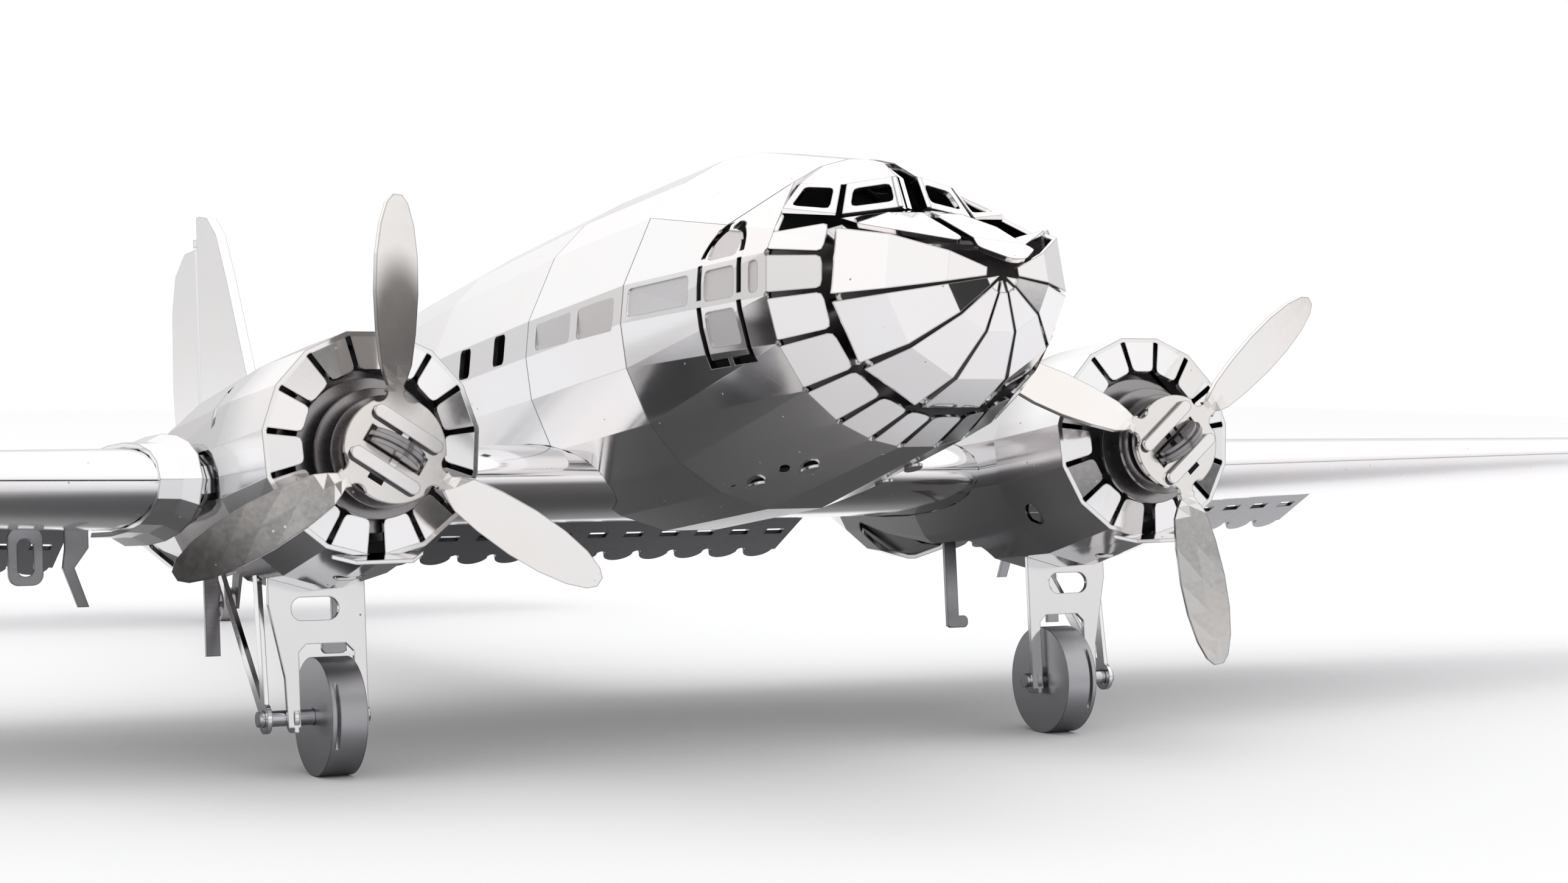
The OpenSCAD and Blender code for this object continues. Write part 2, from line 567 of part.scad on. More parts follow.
module hinge_rod(ends) {
  s = spread(ends[0], ends[1], hinge_reach);
  bar(s[0], s[1], rod_r, $fn = 24);
}
module hinge_lugs(ends) {
  s = spread(ends[0], ends[1], hinge_reach);
  for (k = [0, 1]) {
    away = unit(s[k] - ends[k]);
    difference() {
      union() {
        bar(s[k], s[k] - away * lug_w, curl_r, $fn = 24);
        translate([min(s[k].x, s[k].x - away.x * lug_w), s[k].y - hinge_back - sheet / 2,
          s[k].z - curl_r * 0.7]) cube([abs(away.x) * lug_w, hinge_back + sheet / 2, curl_r * 1.4]);
      }
      bar(s[k] + away, s[k] - away * (lug_w + 1), rod_r + fit, $fn = 24);
    }
  }
}

module centre_wing() color("silver") {
  across_from(-centre_half, 2 * centre_half) {
    difference() {
      polygon(flat(section(0, box_shares)));
      polygon(inset(flat(section(0, box_shares)), sheet));
    }
    polygon(flat(concat(trailing_row(0), [for (k = [2:-1:0]) trailing_row(0)[k] - [0, 0, sheet]])));
  }
  hinge_lugs(centre_flap_ends);
}

module outer_wing(side) color("silver") on_side(side) {
  root = -centre_half - 2 * seam;
  wing_box([root, -straight_end]);
  trailing_sheet([root, -flap_out - hinge_reach]);
  loft([for (t = [0, 0.25, 0.5, 0.7, 0.85, 0.94, 0.985])
    section(-straight_end - tip_round * t, full_shares)]);
  hinge_lugs(flap_ends);
  hinge_lugs(aileron_ends);
}

// Flared cuff round the leading edge where the outer wing starts
module wing_cuff(side) color("whitesmoke") on_side(side) {
  shares = [for (s = box_shares) if (s < 0.5) s];
  rows = [[-centre_half - 0.4, 1.5], [-centre_half - 2, 0.7], [-centre_half - 4.2, 0.15 + sheet]];
  between([for (r = rows) thinned(section(r[0], shares), -r[1])],
    [for (r = rows) thinned(section(r[0], shares), sheet - r[1])]);
}

// Flap sheet: rolled front edge, row of holes, lobed rear edge, pointed tabs
module flap_outline(length) {
  lobes = floor(length / 4.6);
  step = length / lobes;
  difference() {
    union() {
      square([length, flap_deep]);
      for (k = [0:lobes-1]) translate([step * (k + 0.5), flap_deep]) circle(step * 0.4, $fn = 24);
    }
    for (k = [0:lobes-1]) translate([step * (k + 0.25), flap_deep * 0.45])
      square([step * 0.5, 1.4]);
    for (k = [1:lobes-1]) translate([step * k, flap_deep]) circle(step * 0.12, $fn = 16);
  }
}
module flap(ends) {
  length = norm(ends[1] - ends[0]);
  hang = ends[0] + [0, cos(flap_angle), -sin(flap_angle)];
  on_plane(ends[0], ends[1], hang) difference() {
    union() {
      translate([0, 0, ends[1].x > ends[0].x ? -curl_r : curl_r - sheet]) linear_extrude(sheet)
        flap_outline(length);
      rotate([0, 90, 0]) cylinder(r = curl_r, h = length, $fn = 24);
    }
    translate([-1, 0, 0]) rotate([0, 90, 0]) cylinder(r = rod_r + fit, h = length + 2, $fn = 24);
  }
}
module centre_flap() color("darkgray") flap(centre_flap_ends);
module outer_flap(side) color("darkgray") on_side(side) flap(flap_ends);
module flap_rods() color("gray") {
  hinge_rod(centre_flap_ends);
  for (side = [-1, 1]) on_side(side) hinge_rod(flap_ends);
}

module aileron(side) color("silver") on_side(side) difference() {
  ends = aileron_ends;
  union() {
    loft([for (p = ends)
      let (s0 = (p.y - lead_y(p.x)) / chord(p.x), shares = [0.99, (s0 + 0.99) / 2, s0])
      concat([for (s = shares) on_wing(p.x, s, 1)], [for (k = [2:-1:0]) on_wing(p.x, shares[k], -1)])]);
    bar(ends[0], ends[1], curl_r, $fn = 24);
  }
  s = spread(ends[0], ends[1], 1);
  bar(s[0], s[1], rod_r + fit, $fn = 24);
}
module aileron_rods() color("gray")
  for (side = [-1, 1]) on_side(side) hinge_rod(aileron_ends);

// Bent loops that hang under the wing between nacelle and flap
guide_y = 60;
module guide(x, low, shape) {
  top = on_wing(x, (guide_y - lead_y(x)) / chord(x), -1).z - seam;
  translate([x, 0, 0]) back_from(guide_y, sheet) difference() {
    union() {
      if (shape == "loop") translate([-1.9, low]) rounded_box([3.8, top - low], 1.2);
      else polygon([[-1.3, top], [1.3, top], [1.3, lerp(low, top, 0.75)], [-0.3, lerp(low, top, 0.5)],
        [1.2, low], [0, low], [-1.6, lerp(low, top, 0.5)], [-1.3, lerp(low, top, 0.75)]]);
      translate([-1.3, top - 1.3]) square([2.6, 1.3]);
    }
    if (shape == "loop") translate([-0.9, low + 1]) rounded_box([1.8, top - low - 2.2], 0.8);
  }
}
module wing_guides(side) color("gray") on_side(side) {
  guide(-centre_half - 8.4, -10.1, "loop");
  guide(-centre_half - 2.8, -12.6, "hook");
}

module shoulder_skin() color("gainsboro") difference() {
  cabin_rows([y_seam1 + seam, y_seam2]);
  wing_room(-body_r - 1, 2 * body_r + 2);
  for (side = [0, 1]) mirror([side, 0, 0]) translate([0, 0, mid_z(y_seam2) + 0.85])
    for (y = [y_seam1 + 2.2, y_seam1 + 13.2])
      across_from(-body_r - 1, 1 + press_deep + body_r * 0.012)
        translate([y, 0]) rounded_box([9, window_h], 0.6);
}

// The wing is the belly of the cabin from the shoulder to its trailing edge
wing_end_y = wing_y + root_chord;
module belly_room() across_from(-body_r - 1, 2 * body_r + 2) {
  polygon(concat([[wing_end_y + play, wing_z - 20], [wing_end_y + play, wing_z + 0.4]],
    inset([for (p = section(0, full_shares)) if (p.y > y_seam2 - 4 && p.z > wing_z) [p.y, p.z]], -seam),
    [[y_seam2 - 1, wing_z], [y_seam2 - 1, wing_z - 20]]));
}
module cabin_skin() color("lightgray") difference() {
  cabin_rows([y_seam2 + seam, y_cabin_a, y_cabin_b, y_cone]);
  belly_room();
  for (k = [0:window_count-1]) {
    y = y_seam2 + 7.1 + k * window_pitch;
    z = mid_z(y + window_w / 2) + half_w(y) * (sin(166.8) + sin(179)) / 2;
    across_from(-body_r - 1, 2 * body_r + 2) translate([y, z - window_h / 2])
      rounded_box([window_w, window_h], 0.6);
  }
}

module nose_bulkhead() color("gray") {
  ring = [for (i = [3:corners-1]) front_left[i]];
  back_from(y_tabs + seam, sheet) polygon(inset([for (p = whole(ring)) [p.x, p.z]], sheet + seam));
}
module cabin_bulkhead() color("gray") cabin_disc(y_seam1 + 1);
module tail_bulkhead() color("gray") cabin_disc(y_cone - 1);

// Fin and rudder outlines in Y and Z
fin_back = rudder_y - hinge_back;
rudder_low = roof_z(rudder_y) + 2 * play;
rudder_high = fin_top * 0.904;
// Leading edge of the fin: shares of its foot and of its height
fin_lead = [[0.818, 0.404], [0.682, 0.558], [0.5, 0.769], [0.348, 0.923], [0.212, 0.985],
  [0.091, 1]];
fin_outline = concat([for (y = [fin_back, rudder_y - fin_foot * 0.606, rudder_y - fin_foot])
  [y, roof_z(y) + seam]], [for (p = fin_lead) [rudder_y - fin_foot * p.x, fin_top * p.y]],
  [[fin_back, fin_top]]);
rudder_ends = [[0, rudder_y, rudder_low + hinge_reach], [0, rudder_y, rudder_high]];
rudder_outline = [[rudder_y, rudder_low + hinge_reach], [rudder_end - 4, rudder_low + hinge_reach],
  [rudder_end - 1, rudder_low + 5], [rudder_end, rudder_low + 12], [rudder_end - 0.6, fin_top * 0.731],
  [rudder_end - 3, fin_top * 0.846], [rudder_y + 5.5, rudder_high], [rudder_y, rudder_high]];
module tail_lug(p, along_x) {
  size = along_x ? [lug_w, hinge_back + 0.3, 1.2] : [1.2, hinge_back + 0.3, lug_w];
  difference() {
    union() {
      translate([p.x - size.x / 2, p.y - size.y, p.z - size.z / 2]) cube(size);
      if (along_x) pin_x(p - [lug_w / 2, 0, 0], curl_r, lug_w, $fn = 24);
      else translate(p - [0, 0, lug_w / 2]) cylinder(r = curl_r, h = lug_w, $fn = 24);
    }
    if (along_x) pin_x(p - [lug_w, 0, 0], rod_r + fit, 2 * lug_w, $fn = 24);
    else translate(p - [0, 0, lug_w]) cylinder(r = rod_r + fit, h = 2 * lug_w, $fn = 24);
  }
}
lug_step = play + lug_w / 2;
module fin() color("silver") {
  across_from(-tail_thick / 2, tail_thick) polygon(fin_outline);
  tail_lug(rudder_ends[0] - [0, 0, lug_step], false);
  tail_lug(rudder_ends[1] + [0, 0, lug_step], false);
}
module rudder() color("silver") difference() {
  union() {
    across_from(-tail_thick / 2, tail_thick) polygon(rudder_outline);
    bar(rudder_ends[0], rudder_ends[1], curl_r, $fn = 24);
  }
  bar(rudder_ends[0] - [0, 0, 1], rudder_ends[1] + [0, 0, 1], rod_r + fit, $fn = 24);
}
module rudder_rod() color("gray")
  bar(rudder_ends[0] - [0, 0, hinge_reach], rudder_ends[1] + [0, 0, hinge_reach], rod_r, $fn = 24);

// Tailplane and elevators
elevator_in = 4.8;
elevator_out = tailplane_half - 5;
tailplane_back = elevator_y - hinge_back;
module tailplane_shape() polygon(concat(
  [[-tailplane_half + 5, tailplane_back], [-tailplane_half + 1, tailplane_back - 2],
   [-tailplane_half, tailplane_back - 5], [-tailplane_half + 1.5, tailplane_back - 8.5],
   [-tailplane_half + 5, tailplane_back - 11], [-3, tailplane_y]],
  [[3, tailplane_y], [tailplane_half - 5, tailplane_back - 11],
   [tailplane_half - 1.5, tailplane_back - 8.5], [tailplane_half, tailplane_back - 5],
   [tailplane_half - 1, tailplane_back - 2], [tailplane_half - 5, tailplane_back]]));
module tailplane() color("silver") {
  translate([0, 0, tailplane_z - tail_thick / 2]) linear_extrude(tail_thick) tailplane_shape();
  for (side = [-1, 1])
    tail_lug([side * (elevator_out + lug_step), elevator_y, tailplane_z], true);
}
module elevators() color("silver") difference() {
  union() {
    for (side = [0, 1]) mirror([side, 0, 0])
      translate([0, 0, tailplane_z - tail_thick / 2]) linear_extrude(tail_thick)
        polygon([[elevator_in, elevator_y], [elevator_out, elevator_y],
          [elevator_out - 1, elevator_y + 3.5], [elevator_out - 6, elevator_y + 6],
          [elevator_in + 14, elevator_end - 1], [elevator_in + 6, elevator_end],
          [elevator_in + 2, elevator_end - 3]]);
    pin_x([-elevator_out, elevator_y, tailplane_z], curl_r, 2 * elevator_out, $fn = 24);
  }
  pin_x([-elevator_out - 1, elevator_y, tailplane_z], rod_r + fit, 2 * elevator_out + 2, $fn = 24);
}
module elevator_rod() color("gray") {
  reach = elevator_out + hinge_reach;
  pin_x([-reach, elevator_y, tailplane_z], rod_r, 2 * reach, $fn = 24);
}

// Tail wheel in a folded fork that passes through the tail cone's belly
fork_in = tail_wheel_w / 2 + play;
fork_top = belly_z(tail_wheel_y - 6) + 1;
fork_half = fork_in + sheet;
axle_end = fork_half + 0.3;
module fork_side() polygon([[tail_wheel_y - 9, fork_top], [tail_wheel_y - 3, fork_top],
  [tail_wheel_y + 1.2, -tail_drop + 0.8], [tail_wheel_y + 1.2, -tail_drop - 0.8],
  [tail_wheel_y - 1.2, -tail_drop - 0.8], [tail_wheel_y - 2.4, -tail_drop + 2]]);
module tail_fork() color("gray") difference() {
  union() {
    for (x = [-fork_half, fork_in]) across_from(x, sheet) fork_side();
    translate([-fork_half, tail_wheel_y - 9, fork_top - sheet]) cube([2 * fork_half, 6, sheet]);
  }
  pin_x([-5, tail_wheel_y, -tail_drop], rod_r + fit, 10, $fn = 24);
}
module tail_wheel() color("dimgray") difference() {
  pin_x([-tail_wheel_w / 2, tail_wheel_y, -tail_drop], tail_wheel_r, tail_wheel_w);
  pin_x([-5, tail_wheel_y, -tail_drop], rod_r + fit, 10, $fn = 24);
  for (x = [-tail_wheel_w / 2 - 1, tail_wheel_w / 2 - 0.4])
    pin_x([x, tail_wheel_y, -tail_drop], tail_wheel_r - 0.6, 1.4);
}
module tail_axle() color("gray") {
  pin_x([-axle_end, tail_wheel_y, -tail_drop], rod_r, 2 * axle_end, $fn = 24);
}

module tail_cone() color("silver") difference() {
  cabin_rows([y_cone + seam, y_cone_a, y_cone_b, y_cone_c, y_end]);
  translate([0, 0, tailplane_z - tail_thick / 2 - seam])
    linear_extrude(tail_thick + 2 * seam) tailplane_shape();
  pin_x([-8, elevator_y, tailplane_z], curl_r + 1.5 * play, 16);
  translate([-fork_half - seam, tail_wheel_y - 9 - seam, fork_top - 4])
    cube([2 * (fork_half + seam), 8, 4 + seam]);
}

// Nacelle: flat facets behind the petals, fading into the wing
petal_step = (360 - 6.6) / petals;
nacelle_angles = [for (k = [0:petals]) 90 + (k - petals / 2) * petal_step];
y_nacelle = cowl_y + nacelle_len;
function nacelle_row(y, inner = 0) = let (
    a = lookup(y, [[cowl_y, cowl_r], [cowl_y + 12, 11.9], [39, 11.8], [62, 9], [y_nacelle, 4]]),
    t = lookup(y, [[cowl_y, cowl_r], [cowl_y + 12, 11.6], [39, 9.6], [62, 5], [y_nacelle, 1.2]]),
    b = lookup(y, [[cowl_y, cowl_r], [cowl_y + 12, 12.6], [39, 12.5], [62, 9.5], [y_nacelle, 4]]),
    c = lookup(y, [[cowl_y, cowl_z], [cowl_y + 12, 0.2], [39, 0], [y_nacelle, 0]]))
  [for (q = nacelle_angles)
    [-engine_x + (a - inner) * cos(q), y, c + ((sin(q) > 0 ? t : b) - inner) * sin(q)]];
nacelle_ys = [cowl_y, cowl_y + 12, 39, 62, y_nacelle];
petal_focus = [-engine_x, cowl_y + 20, cowl_z];
module cowl_petal(k) {
  a = nacelle_row(cowl_y)[k];
  b = nacelle_row(cowl_y)[k + 1];
  in_y = cowl_y - 0.5;
  hub = [-engine_x, in_y, cowl_z];
  c = toward(toward(hub, [b.x, in_y, b.z], intake_r), [a.x, in_y, a.z], cut / 2);
  d = toward(toward(hub, [a.x, in_y, a.z], intake_r), [b.x, in_y, b.z], cut / 2);
  base = all_toward([toward(a, b, cut / 2), toward(b, a, cut / 2)], petal_focus, lap);
  plate(soft([base[0], base[1], c, d], [0, 0, 0.5, 0.5]), petal_focus);
}
well_y = [29.5, 58];
well_half = 8;
leg_y = axle_y - 1.3;
brace_x = -engine_x - 5.75;
module nacelle_skin() {
  between([for (y = nacelle_ys) nacelle_row(y)], [for (y = nacelle_ys) nacelle_row(y, sheet)], true);
  for (k = [0:petals-1]) cowl_petal(k);
}
module nacelle(side) color("lightgray") on_side(side) difference() {
  nacelle_skin();
  wing_room(-engine_x - cowl_r - 2, 2 * cowl_r + 4);
  // Wheel well, slots for the leg and the brace
  translate([-engine_x - well_half, well_y[0], wing_z - 20])
    linear_extrude(17) rounded_box([2 * well_half, well_y[1] - well_y[0]], 2);
  translate([-engine_x + leg_left - seam, leg_y - seam, leg_top - 8])
    cube([leg_right - leg_left + 2 * seam, sheet + 2 * seam, 8 + seam]);
  translate([brace_x - seam, axle_y + 0.4, leg_top - 8]) cube([sheet + 2 * seam, 3.2, 8]);
  // Oval hole in the inner side and slanted slot in the outer one
  translate([-engine_x + 6, cowl_y + 8.6, -6.2]) rotate([0, 100, 0]) cylinder(r = 1.2, h = 10);
  translate([-engine_x - 4, cowl_y + 17, 6]) rotate([-35, 0, 0]) translate([-12, -0.45, -2.4])
    cube([10, 0.9, 4.8]);
  translate([-engine_x, cowl_y + 8, -20]) linear_extrude(12)
    translate([-1.6, -0.8]) rounded_box([3.2, 1.6], 0.75);
}
firewall_y = 14;
module firewall(side) color("gray") on_side(side) back_from(firewall_y, sheet)
  polygon([for (p = nacelle_row(firewall_y + sheet, sheet + 2 * seam)) [p.x, p.z]]);

// Engine: stepped discs on a core, in front of the firewall
foot_y = sheet / 2 + seam;
head_y = foot_y + play;
disc_y = head_y + head_t + play;
engine_y = disc_y + sheet + play;
engine_discs = [[0, 5.4], [2.3, 6.3], [4.8, 7.5], [8, 8.5]];
module engine(side) color("darkgray") on_side(side) difference() {
  translate([-engine_x, 0, 0]) {
    pin_y([0, engine_y, 0], 3.2, firewall_y - engine_y);
    for (d = engine_discs) pin_y([0, engine_y + d[0], 0], d[1], sheet);
    pin_y([0, engine_y + engine_discs[1][0], 0], 4.4, firewall_y - engine_y - engine_discs[1][0]);
  }
  pin_y([-engine_x, 0, 0], shaft_r + fit, firewall_y);
}
// Shaft fixed in the engine; its head keeps the retainer's disc on
module prop_shaft(side) color("gray") on_side(side) {
  pin_y([-engine_x, head_y, 0], shaft_r, firewall_y - head_y);
  pin_y([-engine_x, head_y, 0], head_r, head_t);
}

// Propeller: hub plate with slots, three necks and twisted blades
neck_r = hub_r + 1;
neck_half = 0.8;
neck_hollow = 0.95;
tab_slot = [1.7, 0.8];
tab_off = 2.3;
stack_slot = [6.4, 1.8];
blade_rows = [[hub_r + 0.4, 0.4, 0.1], [neck_r, 0.32, 0.2], [neck_r + 0.8, 0.5, 0.7],
  [neck_r + 2, 0.72, 1], [neck_r + 5, 0.9, 1], [prop_r - 9.5, 1, 0.95], [prop_r - 6, 0.95, 0.9],
  [prop_r - 3, 0.76, 0.85], [prop_r - 1, 0.48, 0.8], [prop_r - 0.2, 0.2, 0.8]];
function blade_line(row, level) = let (w = row[1] * blade_half, a = row[2] * blade_twist)
  [for (q = [-1, 0, 1]) [row[0], -q * w * sin(a) + level * cos(a), q * w * cos(a) + level * sin(a)]];
module blade() between([for (row = blade_rows) blade_line(row, -sheet / 2)],
  [for (row = blade_rows) blade_line(row, sheet / 2)]);
module in_prop(side) {
  turn = side < 0 ? left_turn : right_turn;
  translate([side * engine_x, 0, 0]) rotate([0, -turn, 0]) children();
}
module slot_shape(size) translate([-size.x / 2, -size.y / 2]) square(size);
// Hub outline: necks that leave a disc in round hollows
module hub_outline() difference() {
  union() {
    circle(hub_r);
    for (k = [0:2]) rotate(k * 120) translate([0, -neck_half - neck_hollow])
      square([neck_r, 2 * (neck_half + neck_hollow)]);
  }
  for (k = [0:2], q = [-1, 1]) rotate(k * 120)
    translate([hub_r + neck_hollow * 0.35, q * (neck_half + neck_hollow)]) circle(neck_hollow, $fn = 32);
  for (k = [0:2], q = [-1, 1]) rotate(k * 120)
    translate([hub_r + neck_hollow * 0.35, q * (neck_half + neck_hollow) - neck_hollow])
      square(2 * neck_hollow);
}
module propeller(side) color("silver") in_prop(side) {
  back_from(-sheet / 2, sheet) difference() {
    hub_outline();
    slot_shape(stack_slot);
    for (z = [-tab_off, tab_off]) translate([0, z]) slot_shape(tab_slot);
  }
  for (k = [0:2]) rotate([0, -k * 120, 0]) blade();
}

// Retainer: a disc behind the hub plate with two T tabs through its slots
head_w = 1.3;
module retainer(side) color("whitesmoke") in_prop(side) {
  back_from(disc_y, sheet) difference() {
    circle(hub_r * 0.85);
    circle(shaft_r + fit);
  }
  for (z = [-tab_off, tab_off]) translate([0, 0, z]) {
    back_from(-sheet * 1.5 - seam, disc_y + sheet * 1.5 + seam + lap)
      slot_shape(tab_slot - 2 * [seam, seam]);
    back_from(-sheet * 1.5 - seam, sheet) {
      slot_shape([7.7 - head_w, head_w]);
      for (x = [-1, 1]) translate([x * (7.7 - head_w) / 2, 0]) circle(head_w / 2, $fn = 24);
    }
  }
}
// Spinner: three half discs side by side, standing in the middle slot
module spinner(side) color("gray") in_prop(side)
  for (k = [-1:1]) translate([0, 0, (k - 0.5) * sheet]) linear_extrude(sheet) {
    r = k == 0 ? 3.1 : 2.8;
    intersection() {
      translate([0, -sheet / 2]) circle(r);
      translate([-r, -sheet / 2 - r]) square([2 * r, r]);
    }
    translate([-r, -sheet / 2 - lap]) square([2 * r, foot_y + sheet / 2 + lap]);
  }

// Main undercarriage, drawn for the left side around its wheel
leg_left = -5.3;
leg_right = wheel_off + wheel_w / 2 + play + 1.35;
leg_top = -9.6;
leg_shoulder = -12.7;
notch_left = wheel_off - wheel_w / 2 - 1.7;
notch_right = wheel_off + wheel_w / 2 + play;
notch_top = -axle_drop + wheel_r + 1.3;
module gear_leg(side) color("whitesmoke") on_side(side)
  translate([-engine_x, 0, 0]) back_from(leg_y, sheet) difference() {
    polygon([[leg_left, leg_top], [leg_left, leg_shoulder - 1], [notch_left - 1.5, -axle_drop + 4],
      [notch_left - 1.3, -axle_drop - 1], [notch_left, -axle_drop - 1], [notch_left, notch_top - 0.8],
      [notch_left + 0.8, notch_top], [notch_right - 0.8, notch_top], [notch_right, notch_top - 0.8],
      [notch_right, -axle_drop - 1], [leg_right, -axle_drop - 1], [leg_right, leg_top]]);
    translate([-2.9, leg_shoulder - 2.7]) rounded_box([5, 2.3], 1.1);
  }
// Ears folded back from the leg's prongs, with the bores for the axle
module leg_ear(x) translate([-engine_x + x, 0, 0]) across_from(0, sheet) difference() {
  union() {
    translate([axle_y, -axle_drop]) circle(1.5);
    translate([leg_y, -axle_drop - 1.5]) square([axle_y - leg_y, 3]);
  }
  translate([axle_y, -axle_drop]) circle(axle_r + fit);
}
module leg_with_ears(side) {
  gear_leg(side);
  color("whitesmoke") on_side(side) {
    leg_ear(notch_left - sheet - 0.2);
    leg_ear(notch_right + 0.2);
  }
}

// V brace beside the leg, from the axle up to the wing
arm = 1.3;
module brace_arm(y) {
  a = [axle_y, -axle_drop];
  b = [y, wing_under(y)];
  side = unit([-(b - a).y, (b - a).x]) * arm / 2;
  polygon([a + side, a - side, [y + arm / 2, wing_under(y + arm / 2)],
    [y - arm / 2, wing_under(y - arm / 2)]]);
}
module gear_brace(side) color("whitesmoke") on_side(side) across_from(brace_x, sheet) difference() {
  union() {
    translate([axle_y, -axle_drop]) circle(1.5);
    brace_arm(axle_y + 2);
    brace_arm(axle_y + 17.5);
  }
  translate([axle_y, -axle_drop]) circle(axle_r + fit);
}
// Strips that hang from the wing inside the wheel well
strip_y = 37;
module well_strips(side) color("gray") on_side(side) translate([-engine_x, 0, 0])
  for (x = [-well_half + 0.4, well_half - 1.9]) back_from(strip_y, sheet) {
    translate([x, -18.6]) square([1.5, 18.6 + wing_under(strip_y)]);
    if (x > 0) translate([x - 1.2, -18.8]) rounded_box([2.7, 1.4], 0.6);
  }

module main_wheel(side) color("lightsteelblue") on_side(side) difference() {
  p = [-engine_x + wheel_off, axle_y, -axle_drop];
  half = wheel_w / 2;
  pin_x(p - [half, 0, 0], wheel_r, wheel_w);
  pin_x(p - [half + 1, 0, 0], axle_r + fit, wheel_w + 2);
  // Slit between the outer disc and the tread
  difference() {
    pin_x(p - [half - sheet, 0, 0], wheel_r + 1, 0.35);
    pin_x(p - [half, 0, 0], wheel_r - 0.8, 2);
    translate(p + [-4, -5, -9]) cube([8, 20, 20]);
  }
}
module main_axle(side) color("gray") on_side(side) {
  x0 = brace_x - 0.6;
  x1 = -engine_x + leg_right + 0.4;
  pin_x([x0, axle_y, -axle_drop], axle_r, x1 - x0);
}

// The finished aircraft pitched onto its wheels, centred over its length
front_y = stand([0, y_tip, nose_tip_z - nose_tip_r]).y;
back_y = max([for (p = rudder_outline) stand([0, p.x, p.y]).y]);
module stance() translate([0, -(front_y + back_y) / 2, stand_z]) rotate([-pitch, 0, 0]) children();

stance() forward_skin();
stance() nose_cap();
stance() brow_plates();
stance() cockpit_canopy();
stance() shoulder_skin();
stance() cabin_skin();
stance() tail_cone();
stance() nose_bulkhead();
stance() cabin_bulkhead();
stance() tail_bulkhead();
stance() centre_wing();
stance() outer_wing(-1);  // left_wing
stance() outer_wing(1);  // right_wing
stance() wing_cuff(-1);  // left_cuff
stance() wing_cuff(1);  // right_cuff
stance() wing_guides(-1);  // left_guides
stance() wing_guides(1);  // right_guides
stance() centre_flap();
stance() outer_flap(-1);  // left_flap
stance() outer_flap(1);  // right_flap
stance() flap_rods();
stance() aileron(-1);  // left_aileron
stance() aileron(1);  // right_aileron
stance() aileron_rods();
stance() nacelle(-1);  // left_nacelle
stance() nacelle(1);  // right_nacelle
stance() firewall(-1);  // left_firewall
stance() firewall(1);  // right_firewall
stance() engine(-1);  // left_engine
stance() engine(1);  // right_engine
stance() prop_shaft(-1);  // left_shaft
stance() prop_shaft(1);  // right_shaft
stance() propeller(-1);  // left_propeller
stance() propeller(1);  // right_propeller
stance() retainer(-1);  // left_retainer
stance() retainer(1);  // right_retainer
stance() spinner(-1);  // left_spinner
stance() spinner(1);  // right_spinner
stance() leg_with_ears(-1);  // left_leg
stance() leg_with_ears(1);  // right_leg
stance() gear_brace(-1);  // left_brace
stance() gear_brace(1);  // right_brace
stance() well_strips(-1);  // left_strips
stance() well_strips(1);  // right_strips
stance() main_axle(-1);  // left_axle
stance() main_axle(1);  // right_axle
stance() main_wheel(-1);  // left_wheel
stance() main_wheel(1);  // right_wheel
stance() fin();
stance() rudder();
stance() rudder_rod();
stance() tailplane();
stance() elevators();
stance() elevator_rod();
stance() tail_fork();
stance() tail_wheel();
stance() tail_axle();
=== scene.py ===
# %% [markdown]
# # A sheet-steel model airliner
# The airliner is folded from half-millimetre stainless sheet. Everything that
# has a size is already in the imported frame: the skins, wings, engines, wheels
# and hinges. This lesson gives those pieces their finish, adds the fine folded
# details, and sets the model on a white table before a camera.

# %% Load the frame
import math

import bmesh
import bpy
from mathutils import Matrix, Vector


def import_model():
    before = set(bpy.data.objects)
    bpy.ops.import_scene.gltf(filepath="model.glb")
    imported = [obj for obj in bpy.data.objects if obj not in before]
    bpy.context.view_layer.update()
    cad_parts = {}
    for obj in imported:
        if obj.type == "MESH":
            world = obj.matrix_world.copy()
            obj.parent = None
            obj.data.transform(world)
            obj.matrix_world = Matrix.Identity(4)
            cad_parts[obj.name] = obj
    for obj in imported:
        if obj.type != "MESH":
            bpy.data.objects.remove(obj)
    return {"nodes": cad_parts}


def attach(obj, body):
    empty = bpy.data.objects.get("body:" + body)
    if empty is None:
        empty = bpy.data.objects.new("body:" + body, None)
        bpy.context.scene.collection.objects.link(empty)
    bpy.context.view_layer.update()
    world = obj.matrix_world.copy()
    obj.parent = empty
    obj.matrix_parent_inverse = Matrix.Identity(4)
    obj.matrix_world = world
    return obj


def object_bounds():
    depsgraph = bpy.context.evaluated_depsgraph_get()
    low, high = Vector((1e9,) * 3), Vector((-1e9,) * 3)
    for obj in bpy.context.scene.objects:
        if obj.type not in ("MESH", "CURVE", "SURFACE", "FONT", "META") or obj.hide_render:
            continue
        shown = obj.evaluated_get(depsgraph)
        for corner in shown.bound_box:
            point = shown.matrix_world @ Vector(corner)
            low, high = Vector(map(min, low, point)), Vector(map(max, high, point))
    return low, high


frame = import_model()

CAD_LOW, CAD_HIGH = [[float(value) for value in corner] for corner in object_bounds()]
MM = 0.001
nodes = frame["nodes"]
print("CAD nodes:", len(nodes), "box:", CAD_LOW, CAD_HIGH)

# %% [markdown]
# ## Camera
# The camera was worked out from the photograph: the two propeller hubs, the
# wheels and the nose are far apart in depth, so only one position, direction
# and focal length puts all of them where the picture has them. It stands low
# in front of the left engine and looks across the nose.

# %% Camera
CAMERA_PLACE = Vector((-0.14656, -0.36834, 0.04342))
CAMERA_YAW = math.radians(27.5)
CAMERA_DOWN = math.radians(1.73)
CAMERA_ROLL = math.radians(0.39)
SENSOR_MM = 36
LENS_MM = 71.1
NEAREST_SEEN = 0.01


